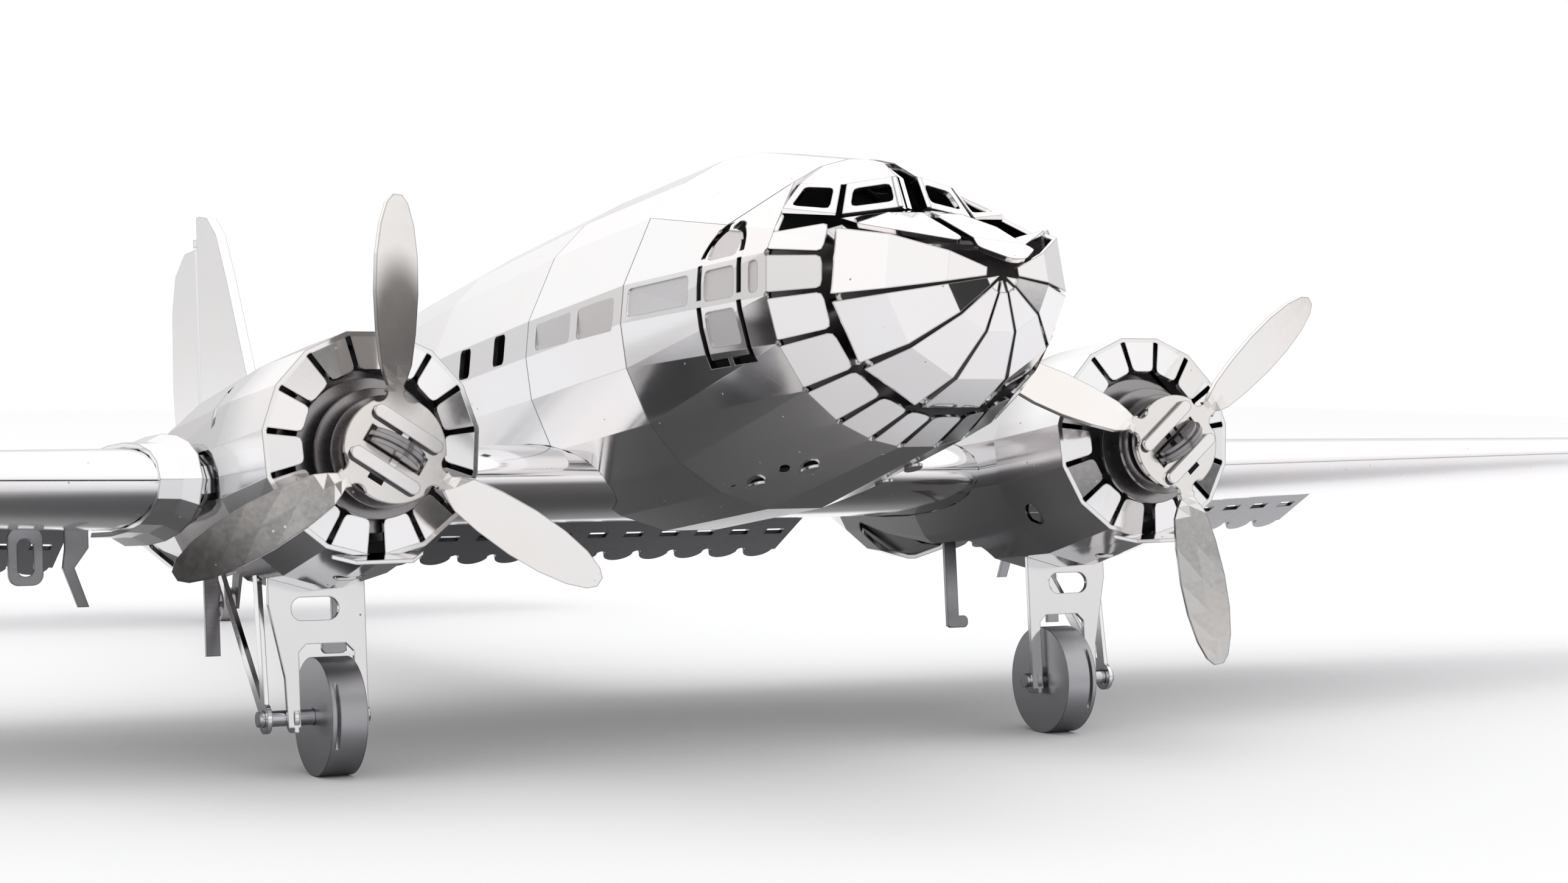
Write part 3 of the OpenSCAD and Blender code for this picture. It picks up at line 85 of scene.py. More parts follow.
def add_object(name, data):
    """Puts a new object with this data into the scene."""
    thing = bpy.data.objects.new(name, data)
    bpy.context.scene.collection.objects.link(thing)
    return thing


def aimed_camera():
    ahead = Vector((math.sin(CAMERA_YAW) * math.cos(CAMERA_DOWN),
                    math.cos(CAMERA_YAW) * math.cos(CAMERA_DOWN), -math.sin(CAMERA_DOWN)))
    level = Vector((math.cos(CAMERA_YAW), -math.sin(CAMERA_YAW), 0))
    upward = level.cross(ahead)
    right = level * math.cos(CAMERA_ROLL) + upward * math.sin(CAMERA_ROLL)
    up = upward * math.cos(CAMERA_ROLL) - level * math.sin(CAMERA_ROLL)
    lens = bpy.data.cameras.new("camera")
    lens.sensor_width = SENSOR_MM
    lens.lens = LENS_MM
    lens.clip_start = NEAREST_SEEN
    camera = add_object("camera", lens)
    turn = Matrix((right, up, -ahead)).transposed().to_4x4()
    camera.matrix_world = Matrix.Translation(CAMERA_PLACE) @ turn
    return camera


bpy.context.scene.camera = aimed_camera()
bpy.context.scene.view_settings.view_transform = "Standard"
print("camera at", tuple(bpy.context.scene.camera.location))

# %% [markdown]
# ## Node helpers
# Materials and the sky are node trees. They could be drawn by hand in the
# editor, but a tree that is written down can be read and repeated. These
# helpers keep it short: wherever one takes a value, that is either the output
# of another node or a plain number, colour or vector.

# %% Node helpers


def add_node(tree, kind, **values):
    """Adds a node; inputs are given by their socket name, anything else is a property."""
    node = tree.nodes.new(kind)
    for name, value in values.items():
        if name.startswith("in_"):
            key = name[3:]
            socket = node.inputs[int(key)] if key.isdigit() else node.inputs[key.replace("_", " ")]
            socket.default_value = value
        else:
            setattr(node, name, value)
    return node


def join(tree, source, target):
    tree.links.new(source, target)


def feed(tree, value, target):
    """Gives an input its value; None leaves it as it is."""
    if isinstance(value, bpy.types.NodeSocket):
        join(tree, value, target)
    elif value is not None:
        target.default_value = value


def maths(tree, operation, first, second=None, clamp=False):
    node = add_node(tree, "ShaderNodeMath", operation=operation, use_clamp=clamp)
    feed(tree, first, node.inputs[0])
    feed(tree, second, node.inputs[1])
    return node.outputs[0]


def vector_maths(tree, operation, first, second=None, scale=None):
    """Gives a vector, or for a length or a dot product a number."""
    node = add_node(tree, "ShaderNodeVectorMath", operation=operation)
    feed(tree, first, node.inputs[0])
    feed(tree, second, node.inputs[1])
    if scale is not None:
        feed(tree, scale, node.inputs["Scale"])
    return node.outputs["Value" if operation in ("LENGTH", "DOT_PRODUCT") else "Vector"]


def ramp(tree, factor, low, high):
    """Maps factor softly from low..high to 0..1."""
    node = add_node(tree, "ShaderNodeMapRange", in_1=low, in_2=high, interpolation_type="SMOOTHSTEP")
    join(tree, factor, node.inputs[0])
    return node.outputs[0]


def blend(tree, share, without, full):
    """A colour between two others."""
    node = add_node(tree, "ShaderNodeMix", data_type="RGBA")
    for index, value in ((0, share), (6, without), (7, full)):
        feed(tree, value, node.inputs[index])
    return node.outputs[2]


def noise(tree, place, scale, detail, **more):
    node = add_node(tree, "ShaderNodeTexNoise", in_Scale=scale, in_Detail=detail, **more)
    join(tree, place, node.inputs["Vector"])
    return node


def from_middle(tree, place, middle, sizes):
    """0 in the middle of an ellipsoid and 1 on its surface."""
    local = add_node(tree, "ShaderNodeMapping", vector_type="TEXTURE", in_Location=middle, in_Scale=sizes)
    join(tree, place, local.inputs["Vector"])
    return vector_maths(tree, "LENGTH", local.outputs[0])


def new_material(name):
    material = bpy.data.materials.new(name)
    material.use_nodes = True
    return material, material.node_tree, material.node_tree.nodes["Principled BSDF"]


print("node helpers are ready")

# %% [markdown]
# ## The white room
# Bare polished metal has no colour of its own: it shows the room. The tones of
# the model's facets tell what the room was like. Overhead and behind the model
# everything is a little whiter than paper. Low over the table the light falls
# off. Straight ahead, where the photographer stands, a low dark band shows as
# a thin line along the rounded leading edges, and something dark up in front
# of the left engine shades the end of one blade. Walls and windows could be
# built for this, but a sky painted by direction is smoother and quicker. The
# camera and the matt surfaces see a plain white sky instead.

# %% Sky
SKY_WHITE = 1.0
# Brightness of the reflected room at the sine of its height, in front and behind
FRONT_ROOM = [(-1.0, 1.0), (-0.13, 0.9), (-0.09, 0.06), (0.018, 0.06), (0.042, 0.84), (0.2, 1.02),
              (0.4, 1.1), (0.9, 1.25)]
BACK_ROOM = [(-1.0, 0.9), (-0.02, 0.88), (0.0, 0.72), (0.12, 0.8), (0.24, 1.12), (0.6, 1.25), (1.0, 1.25)]
# Y of the direction where the front room starts and where it has taken over
FRONT_STARTS, FRONT_FULL = 0.0, -0.4
# Dark things in the room: direction, cosine at the core and at the rim, depth
DARK_SPOTS = [((0.14, -0.79, 0.56), 0.992, 0.972, 0.88), ((-0.22, -0.975, -0.03), 0.985, 0.968, 0.95)]


def height_ramp(tree, height, stops):
    """Brightness by height: stops are (sine of the height, brightness)."""
    scaled = maths(tree, "ADD", maths(tree, "MULTIPLY", height, 0.5), 0.5)
    node = add_node(tree, "ShaderNodeValToRGB")
    elements = node.color_ramp.elements
    while len(elements) < len(stops):
        elements.new(0.5)
    for element, (sine, value) in zip(elements, stops):
        element.position = 0.5 + sine / 2
        element.color = (value, value, value, 1.0)
    join(tree, scaled, node.inputs[0])
    return node.outputs[0]


def white_sky():
    world = bpy.data.worlds.new("white_room")
    world.use_nodes = True
    tree = world.node_tree
    tree.nodes.clear()
    direction = add_node(tree, "ShaderNodeTexCoord").outputs["Generated"]
    axes = add_node(tree, "ShaderNodeSeparateXYZ")
    join(tree, direction, axes.inputs[0])
    behind = height_ramp(tree, axes.outputs["Z"], BACK_ROOM)
    in_front = height_ramp(tree, axes.outputs["Z"], FRONT_ROOM)
    room = blend(tree, ramp(tree, axes.outputs["Y"], FRONT_STARTS, FRONT_FULL), behind, in_front)
    for place, core, rim, depth in DARK_SPOTS:
        towards = vector_maths(tree, "DOT_PRODUCT", direction, Vector(place).normalized())
        dark = maths(tree, "MULTIPLY", ramp(tree, towards, rim, core), depth)
        room = maths(tree, "MULTIPLY", room, maths(tree, "SUBTRACT", 1.0, dark))
    glossy = add_node(tree, "ShaderNodeLightPath").outputs["Is Glossy Ray"]
    plain = maths(tree, "MULTIPLY", maths(tree, "SUBTRACT", 1.0, glossy), SKY_WHITE)
    strength = maths(tree, "ADD", plain, maths(tree, "MULTIPLY", glossy, room))
    light = add_node(tree, "ShaderNodeBackground", in_Color=(1.0, 1.0, 1.0, 1.0))
    join(tree, strength, light.inputs["Strength"])
    out = add_node(tree, "ShaderNodeOutputWorld")
    join(tree, light.outputs[0], out.inputs["Surface"])
    return world


bpy.context.scene.world = white_sky()
print("sky:", SKY_WHITE, "front bands:", len(FRONT_ROOM), "dark spots:", len(DARK_SPOTS))

# %% [markdown]
# ## Table
# The table is a wide sheet of matt white card, so large that no edge shows.
# The camera sees it a little whiter than the metal does. Under the model the
# card is hemmed in by the wings and the body, and the facets that look down
# mirror it as a dark pool. The soft shadow itself comes from the lamp and the
# sky; the dark pool that the metal mirrors is painted shade in the card's colour.

# %% Table
TABLE_FRONT = -0.62
TABLE_BACK = 1.6
TABLE_HALF = 1.3
CARD_SEEN = (0.965, 0.967, 0.975, 1.0)
CARD_MIRRORED = (0.97, 0.97, 0.985, 1.0)
CARD_ROUGH = 0.9
CARD_GLOSS = 0.1
# Paper fibres: how many to a metre, how far they darken the card
FIBRES = 900.0
FIBRE_DEPTH = 0.02
FIBRE_LOWEST = 0.985
# Painted shade pool under the model, which the camera doesn't see: middle, half sizes, brightness and soft
# rim
POOL_MIDDLE = (0.0, -0.022, 0.0)
POOL_SIZE = (0.1, 0.072, 1.0)
POOL_SHADE_TONE = 0.3
POOL_RIM = (0.8, 1.12)


def white_card():
    material, tree, shader = new_material("white_card")
    shader.inputs["Roughness"].default_value = CARD_ROUGH
    shader.inputs["Specular IOR Level"].default_value = CARD_GLOSS
    place = add_node(tree, "ShaderNodeTexCoord").outputs["Object"]
    fibre = noise(tree, place, FIBRES, 3.0).outputs[0]
    shade = maths(tree, "ADD", maths(tree, "MULTIPLY", fibre, FIBRE_DEPTH), FIBRE_LOWEST)
    # Painted shade: the card's colour inside the pool, seen by every ray but the camera's
    painted_pool = tuple(POOL_SHADE_TONE * value for value in CARD_MIRRORED[:3]) + (1.0,)
    outside = ramp(tree, from_middle(tree, place, POOL_MIDDLE, POOL_SIZE), *POOL_RIM)
    in_metal = blend(tree, outside, painted_pool, CARD_MIRRORED)
    camera_ray = add_node(tree, "ShaderNodeLightPath").outputs["Is Camera Ray"]
    seen = blend(tree, camera_ray, in_metal, CARD_SEEN)
    join(tree, vector_maths(tree, "SCALE", seen, scale=shade), shader.inputs["Base Color"])
    return material


def flat_sheet(name, corners, material):
    mesh = bpy.data.meshes.new(name)
    mesh.from_pydata(corners, [], [(0, 1, 2, 3)])
    mesh.materials.append(material)
    return add_object(name, mesh)


floor = CAD_LOW[2]
table = flat_sheet("table", [(-TABLE_HALF, TABLE_FRONT, floor), (TABLE_HALF, TABLE_FRONT, floor),
                             (TABLE_HALF, TABLE_BACK, floor), (-TABLE_HALF, TABLE_BACK, floor)],
                   white_card())
print("table from", TABLE_FRONT, "to", TABLE_BACK)

# %% [markdown]
# ## The camera's own reflection
# One petal of the nose ends in a nearly black facet, because it mirrors the
# dark front of the camera. A whole camera could be built for that, but it
# would hide the model. A small dark sheet close before the nose does the same,
# and only reflections see it.

# %% Dark lens
LENS_Y = -0.2
LENS_LEFT, LENS_RIGHT = 0.001, 0.017
LENS_LOW, LENS_HIGH = 0.042, 0.06
LENS_ROUGH = 0.8


def dark_lens():
    material, _, shader = new_material("lens_black")
    shader.inputs["Base Color"].default_value = (0.02, 0.021, 0.021, 1.0)
    shader.inputs["Roughness"].default_value = LENS_ROUGH
    lens = flat_sheet("lens", [(LENS_LEFT, LENS_Y, LENS_LOW), (LENS_RIGHT, LENS_Y, LENS_LOW),
                               (LENS_RIGHT, LENS_Y, LENS_HIGH), (LENS_LEFT, LENS_Y, LENS_HIGH)], material)
    lens.visible_camera = False
    lens.visible_diffuse = False
    lens.visible_shadow = False
    return lens


print("dark sheet:", tuple(dark_lens().dimensions))

# %% [markdown]
# ## Lamp
# The photograph's light is so soft that the shadow on the table has no edge.
# The white sky gives nearly all of it. One large soft lamp over the model only
# deepens the shadow. The metal is lit by what it reflects, so the lamp is
# hidden from its reflections.

# %% Lamp
LAMP_PLACE = Vector((0.15, 0.1, 1.2))
LAMP_SIZE = 0.7
LAMP_WATTS = 1.2


def soft_lamp(name):
    """A round lamp that looks at the frame's origin, in the middle under the model."""
    light = bpy.data.lights.new(name, "AREA")
    light.shape = "DISK"
    light.size = LAMP_SIZE
    light.energy = LAMP_WATTS
    lamp = add_object(name, light)
    lamp.location = LAMP_PLACE
    lamp.rotation_euler = (-LAMP_PLACE).to_track_quat("-Z", "Y").to_euler()
    lamp.visible_glossy = False
    return lamp


print("lamp:", soft_lamp("top_lamp").name)

# %% [markdown]
# ## Effects that the finishes share
# Rolled stainless sheet is never perfectly even. Under the polish runs a faint
# grain from the rolling mill, handling leaves hair scratches, and dust settles
# on it. Each effect is a node group, so that every finish can use it with its
# own strength.

# %% Grain of the rolling mill


def effect_group(name, inputs, outputs):
    """An empty node group: inputs are (label, socket type, default), outputs are labels."""
    group = bpy.data.node_groups.new(name, "ShaderNodeTree")
    for label, kind, value in inputs:
        socket = group.interface.new_socket(label, in_out="INPUT", socket_type=kind)
        if value is not None:
            socket.default_value = value
    for label in outputs:
        group.interface.new_socket(label, in_out="OUTPUT", socket_type="NodeSocketFloat")
    return group, group.nodes.new("NodeGroupInput"), group.nodes.new("NodeGroupOutput")


def rolled_grain():
    """Streaks along one direction: Stretch holds the scale along X, Y and Z in 1/m."""
    group, source, out = effect_group(
        "rolled_grain", [("Vector", "NodeSocketVector", None), ("Stretch", "NodeSocketVector", None)],
        ["Streaks", "Clouds"])
    scaled = vector_maths(group, "MULTIPLY", source.outputs["Vector"], source.outputs["Stretch"])
    streaks = noise(group, scaled, 1.0, 5.0, in_Roughness=0.65)
    clouds = noise(group, source.outputs["Vector"], 60.0, 3.0)
    join(group, streaks.outputs[0], out.inputs["Streaks"])
    join(group, clouds.outputs[0], out.inputs["Clouds"])
    return group


GRAIN = rolled_grain()
print("effect:", GRAIN.name)

# %% [markdown]
# ### Scratches and dust
# A hair scratch is a thin bent line that starts and ends anywhere. The borders
# between the cells of a Voronoi texture are such lines, once their places are
# bent by noise and most of them are hidden by patches. Dust is a small spot in
# the middle of a few other cells.

# %% Handling marks
SCRATCH_HALF = 0.006
SCRATCH_BEND = 0.0012
SCRATCH_PATCHES = (0.56, 0.66)
SPECK_RIM, SPECK_CORE = 0.14, 0.05
# A cell has dust if its random value lies above these
DUST_FROM, DUST_FULL = 0.93, 0.96


def voronoi(tree, place, scale, **more):
    node = add_node(tree, "ShaderNodeTexVoronoi", **more)
    join(tree, place, node.inputs["Vector"])
    join(tree, scale, node.inputs["Scale"])
    return node


def handling_marks():
    """Hair scratches and dust specks, each from 0 to 1."""
    group, source, out = effect_group(
        "handling_marks", [("Vector", "NodeSocketVector", None), ("Scratch Scale", "NodeSocketFloat", 260.0),
                           ("Dust Scale", "NodeSocketFloat", 900.0)], ["Scratches", "Dust"])
    place = source.outputs["Vector"]
    bend = vector_maths(group, "SCALE", noise(group, place, 180.0, 2.0).outputs[1], scale=SCRATCH_BEND)
    cells = voronoi(group, vector_maths(group, "ADD", place, bend), source.outputs["Scratch Scale"],
                    feature="DISTANCE_TO_EDGE")
    line = ramp(group, cells.outputs[0], SCRATCH_HALF, 0.0)
    patches = ramp(group, noise(group, place, 140.0, 2.0).outputs[0], *SCRATCH_PATCHES)
    specks = voronoi(group, place, source.outputs["Dust Scale"])
    spot = ramp(group, specks.outputs["Distance"], SPECK_RIM, SPECK_CORE)
    chance = add_node(group, "ShaderNodeSeparateColor")
    join(group, specks.outputs["Color"], chance.inputs[0])
    few = ramp(group, chance.outputs[0], DUST_FROM, DUST_FULL)
    join(group, maths(group, "MULTIPLY", line, patches), out.inputs["Scratches"])
    join(group, maths(group, "MULTIPLY", spot, few), out.inputs["Dust"])
    return group


MARKS = handling_marks()
print("effect:", MARKS.name)

# %% [markdown]
# ## Cut edges and painted edge shade
# The faces of the sheet are polished, but its cut edges are dull, and in the
# photograph their dark line draws every tab. The line is painted: partly the
# dull edge, partly painted shade in the narrow gaps and inner corners. Making
# the lines as pieces would take one for each edge. The Bevel node gives a normal
# that is bent near an edge, so where it differs from the face's own normal, an
# edge is near. Folds between facets bend it so little that they stay bright.

# %% Cut edges
RIM = 0.26 * MM
FOLD_BEND = 0.06
RIM_GAIN = 6.0
BEVEL_SAMPLES = 4


def edge_shade_mask(tree):
    """1 along the cut edges and inner corners of a sheet, where painted edge shade goes; 0 on its faces and
    along its folds.
    """
    bent = add_node(tree, "ShaderNodeBevel", samples=BEVEL_SAMPLES, in_Radius=RIM).outputs[0]
    flat = add_node(tree, "ShaderNodeNewGeometry").outputs["True Normal"]
    turned = maths(tree, "SUBTRACT", 1.0, vector_maths(tree, "DOT_PRODUCT", bent, flat))
    return maths(tree, "MULTIPLY", maths(tree, "SUBTRACT", turned, FOLD_BEND), RIM_GAIN, clamp=True)


print("dark rim, mm:", RIM / MM)

# %% [markdown]
# ## Steel recipe
# Every piece is the same stainless steel. What differs is how it was worked:
# mirror-polished skins, satin wings and etched recesses with a sandy grain;
# inner sheets and parts in shade get painted shade as a darker tone. One
# recipe makes them all. The grain modulates the roughness and, very slightly,
# the surface normal, which is what breaks the reflections into soft bands.

# %% Steel recipe
# Scale of the grain along X, Y and Z, in 1/m
ALONG_BODY = (1500.0, 60.0, 1500.0)
ALONG_WING = (60.0, 1500.0, 1500.0)
ALL_WAYS = (1800.0, 1800.0, 1800.0)
SCRATCH_ROUGH = 0.07
CLOUD_SHARE = 0.6
CLOUD_RIM = (0.35, 0.7)
WARMTH = 0.02
DUST_TONE = (0.55, 0.54, 0.53, 1.0)
# Painted edge shade as a share of the tone: partly the dull cut edge, partly shade in gaps and inner corners
EDGE_SHADE_TONE = (0.2, 0.19, 0.18)
GRAIN_DEPTH = 0.05 * MM


def worn_effects(tree, grain, marks):
    """Streaks, clouds, scratches and dust at the object's own places."""
    place = add_node(tree, "ShaderNodeTexCoord").outputs["Object"]
    rolled = add_node(tree, "ShaderNodeGroup", node_tree=GRAIN, in_Stretch=grain)
    handled = add_node(tree, "ShaderNodeGroup", node_tree=MARKS)
    for group in (rolled, handled):
        join(tree, place, group.inputs["Vector"])
    scratches = maths(tree, "MULTIPLY", handled.outputs["Scratches"], SCRATCH_ROUGH * marks)
    dust = maths(tree, "MULTIPLY", handled.outputs["Dust"], marks)
    return rolled.outputs["Streaks"], rolled.outputs["Clouds"], scratches, dust


def steel(name, tone, shine, grain=ALONG_BODY, spread=0.05, bump=0.02, marks=1.0, edge=0.12):
    """A finish. tone is the colour, shine the lowest roughness and spread what the grain adds.

    bump is the grain's relief, marks the share of scratches and dust, and edge the radius in
    millimetres that edges seem to have; without one they get no painted edge shade either.
    """
    material, tree, shader = new_material(name)
    shader.inputs["Metallic"].default_value = 1.0
    streaks, clouds, scratches, dust = worn_effects(tree, grain, marks)
    rough = maths(tree, "MULTIPLY", streaks, spread)
    rough = maths(tree, "ADD", rough, maths(tree, "MULTIPLY", clouds, spread * CLOUD_SHARE))
    rough = maths(tree, "ADD", rough, shine)
    rough = maths(tree, "ADD", rough, scratches)
    join(tree, maths(tree, "ADD", rough, dust, clamp=True), shader.inputs["Roughness"])
    warm = (min(1.0, tone[0] * (1 + WARMTH)), tone[1] * (1 - WARMTH), tone[2] * (1 - 2 * WARMTH), 1.0)
    colour = blend(tree, ramp(tree, clouds, *CLOUD_RIM), tone + (1.0,), warm)
    colour = blend(tree, dust, colour, DUST_TONE)
    relief = add_node(tree, "ShaderNodeBump", in_Strength=bump, in_Distance=GRAIN_DEPTH)
    join(tree, maths(tree, "SUBTRACT", streaks, scratches), relief.inputs["Height"])
    # Painted edge shade: darkens the colour along cut edges and inner corners
    if edge:
        cut = tuple(value * share for value, share in zip(tone, EDGE_SHADE_TONE)) + (1.0,)
        colour = blend(tree, edge_shade_mask(tree), colour, cut)
        round_edge = add_node(tree, "ShaderNodeBevel", samples=BEVEL_SAMPLES, in_Radius=edge * MM)
        join(tree, round_edge.outputs[0], relief.inputs["Normal"])
    join(tree, colour, shader.inputs["Base Color"])
    join(tree, relief.outputs[0], shader.inputs["Normal"])
    return material


print("grains:", ALONG_BODY, ALONG_WING, ALL_WAYS)

# %% [markdown]
# ## Steel finishes
# The nose is the most polished part. The skins behind it are a little duller,
# the blades and wheels have a grain in all directions, and the etched panels
# are sandy. Flaps, engines and discs get painted shade, a darker tone than
# steel has: in the photograph they stand in shade and mirror their dark
# neighbours, more than the room painted here gives them. The inner sheets get
# a darker painted shade still.

# %% Finishes
RECIPES = {
    "mirror_nose": dict(tone=(0.84, 0.84, 0.85), shine=0.03),
    "mirror_skin": dict(tone=(0.8, 0.8, 0.81), shine=0.06, spread=0.07),
    "nacelle_steel": dict(tone=(0.83, 0.83, 0.84), shine=0.05, spread=0.07),
    "satin_skin": dict(tone=(0.8, 0.8, 0.815), shine=0.14, spread=0.1),
    "tail_skin": dict(tone=(0.9, 0.9, 0.915), shine=0.16, spread=0.1),
    "wing_steel": dict(tone=(0.84, 0.84, 0.855), shine=0.06, grain=ALONG_WING),
    # Flaps, stacks and engines: the darker tone is painted shade
    "flap_steel": dict(tone=(0.36, 0.36, 0.38), shine=0.16, grain=ALONG_WING, spread=0.12),
    "blade_steel": dict(tone=(0.83, 0.815, 0.8), shine=0.1, grain=ALL_WAYS, spread=0.12, bump=0.05,
                        marks=0.3),
    "hub_steel": dict(tone=(0.86, 0.85, 0.86), shine=0.1, spread=0.08),
    "stack_steel": dict(tone=(0.27, 0.265, 0.275), shine=0.1, spread=0.12, edge=0.08),
    # Painted shade: inner sheets in the dark of the body, and the lines under the hub bars
    "dark_steel": dict(tone=(0.13, 0.13, 0.135), shine=0.25, spread=0.15),
    # Painted shade: black stands for the dark seen through a slot
    "slot_black": dict(tone=(0.02, 0.02, 0.022), shine=0.5, spread=0.2, edge=0),
    "engine_steel": dict(tone=(0.36, 0.35, 0.36), shine=0.16, spread=0.12),
    "etched_steel": dict(tone=(0.62, 0.61, 0.62), shine=0.34, grain=ALL_WAYS, spread=0.2, bump=0.35, edge=0),
    "rod_steel": dict(tone=(0.6, 0.6, 0.62), shine=0.12, grain=ALONG_WING, spread=0.1),
    "wheel_steel": dict(tone=(0.42, 0.42, 0.44), shine=0.24, grain=ALL_WAYS, spread=0.14, bump=0.1),
}
finishes = {name: steel(name, **recipe) for name, recipe in RECIPES.items()}
print("finishes:", len(finishes))

# %% [markdown]
# ## Which piece has which finish
# The frame's nodes come without a look. Each is one piece of sheet, wire or
# turned steel, so each gets one finish: the list goes by finish, because most
# pieces share theirs with a few others.

# %% Give every node its finish
WEARS = {
    "mirror_nose": "nose_cap brow_plates cockpit_canopy",
    "mirror_skin": "forward_skin left_cuff right_cuff left_leg right_leg left_brace right_brace "
                   "shoulder_skin",
    "nacelle_steel": "left_nacelle right_nacelle",
    "satin_skin": "cabin_skin tail_cone",
    "tail_skin": "fin rudder tailplane elevators",
    "wing_steel": "centre_wing left_wing right_wing left_aileron right_aileron",
    "flap_steel": "centre_flap left_flap right_flap left_guides right_guides left_strips right_strips",
    "blade_steel": "left_propeller right_propeller",
    "hub_steel": "left_retainer right_retainer",
    "stack_steel": "left_spinner right_spinner",
    # Painted shade on the bulkheads, firewalls and tail fork
    "dark_steel": "nose_bulkhead cabin_bulkhead tail_bulkhead left_firewall right_firewall tail_fork",
    "engine_steel": "left_engine right_engine",
    "rod_steel": "flap_rods aileron_rods rudder_rod elevator_rod left_axle right_axle tail_axle "
                 "left_shaft right_shaft",
    "wheel_steel": "left_wheel right_wheel tail_wheel",
}
for finish, names in WEARS.items():
    for name in names.split():
        slots = nodes[name].data.materials
        slots.clear()
        slots.append(finishes[finish])
print("nodes with a finish:", sum(len(names.split()) for names in WEARS.values()))

# %% [markdown]
# ## Pieces made here
# Small pieces that the frame's solids are too coarse for are built as meshes.
# Their places are given in the airframe's own directions, like the solids':
# X to the right, Y back from the propellers and Z up from the propeller
# shafts. The whole model sits tail down on the table, so one function turns
# such a place into the frame.

# %% Place and build pieces
PITCH = math.radians(6.09615)
SHAFTS_BACK = -92.6868
SHAFTS_UP = 33.5705
ENGINE_X = 44.4
SIDES = ((-1, "left"), (1, "right"))


def world(x, y, z):
    """A place on the airframe, in mm, to the frame's metres."""
    turned_y = y * math.cos(PITCH) + z * math.sin(PITCH)
    turned_z = z * math.cos(PITCH) - y * math.sin(PITCH)
    return Vector((x, turned_y + SHAFTS_BACK, turned_z + SHAFTS_UP)) * MM


def add_piece(name, mesh, finish, body="airframe", smooth=False):
    """Puts a mesh into the scene as a piece that moves with a body."""
    mesh.materials.append(finishes[finish])
    if smooth:
        mesh.polygons.foreach_set("use_smooth", [True] * len(mesh.polygons))
    piece = add_object(name, mesh)
    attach(piece, body)
    return piece


def make_piece(name, points, faces, finish, slot, body="airframe", smooth=False):
    """A piece from places on the airframe."""
    mesh = bpy.data.meshes.new(name)
    mesh.from_pydata([world(*point) for point in points], [], faces)
    return add_piece(name, mesh, finish, body, smooth)


def grid_faces(rows, wide):
    """Faces between rows of points, each row being so many points wide."""
    return [(r * wide + k, r * wide + k + 1, (r + 1) * wide + k + 1, (r + 1) * wide + k)
            for r in range(rows - 1) for k in range(wide - 1)]


print("airframe pitch:", round(math.degrees(PITCH), 3))

# %% [markdown]
# ## Painted shade patches
# The blades get a painted darker reflection: one at its tip, one near its root.
# The nacelles get painted shade behind the bright ring of petals. A patch is an
# ellipsoid in space that darkens whatever lies in it, so it needs no picture and
# no unwrapped mesh.

# %% Shaded patches


def shade_patch(finish, middle, sizes, core, rim, depth):
    """Paints shade into a finish inside an ellipsoid, softly between core and rim."""
    tree = finishes[finish].node_tree
    colour = tree.nodes["Principled BSDF"].inputs["Base Color"]
    before = colour.links[0].from_socket
    place = add_node(tree, "ShaderNodeTexCoord").outputs["Object"]
    away = from_middle(tree, place, middle, [size * MM for size in sizes])
    painted_shade = maths(tree, "MULTIPLY", ramp(tree, away, rim, core), depth)
    join(tree, vector_maths(tree, "SCALE", before, scale=maths(tree, "SUBTRACT", 1.0, painted_shade)), colour)


# Painted darker reflection on the blades, painted shade on each nacelle
SHADE_PATCHES = [("blade_steel", (-66, 0, -13), (13, 8, 11), 0.25, 1.1, 0.8),
           ("blade_steel", (-43.5, 0, 11), (4.5, 6, 9), 0.5, 1.0, 0.72)]
for side, _ in SIDES:
    SHADE_PATCHES.append(("nacelle_steel", (ENGINE_X * side, 40, -2), (30, 34, 30), 0.75, 1.0, 0.3))
for finish, place, sizes, core, rim, depth in SHADE_PATCHES:
    shade_patch(finish, world(*place), sizes, core, rim, depth)
print("shaded patches:", len(SHADE_PATCHES))

# %% [markdown]
# ## Leading edges
# The wing solids have flat facets along the nose of the section. The real
# sheet is rolled into one smooth curve, which draws the room into long bright
# and dark bands. Smooth shading of the facets would still leave their outline,
# so a thin smooth skin follows the true section just outside them, from nearly
# a third of the chord on top round to the same place below.

# %% Wing section
HALF_SPAN = 190.0
TIP_ROUND = 12.0
CENTRE_HALF = 56.4
ROOT_CHORD, TIP_CHORD = 58.0, 22.0
ROOT_THICK, TIP_THICK = 8.3, 3.8
SWEEP, DIHEDRAL = math.radians(14.0), math.radians(1.6)
WING_Y, WING_Z = 22.0, -1.2
# The round tip: where it is cut off, and what its end loses of chord, thickness and lead
TIP_CUT = 0.985
CHORD_LOSS, THICK_LOSS, LEAD_LOSS = 0.75, 0.7, 0.3


def foil(share):
    """Half thickness of the wing section at a share of its chord, by the four-digit formula."""
    return 5 * (0.2969 * math.sqrt(share) - 0.126 * share - 0.3516 * share ** 2
                + 0.2843 * share ** 3 - 0.1036 * share ** 4)


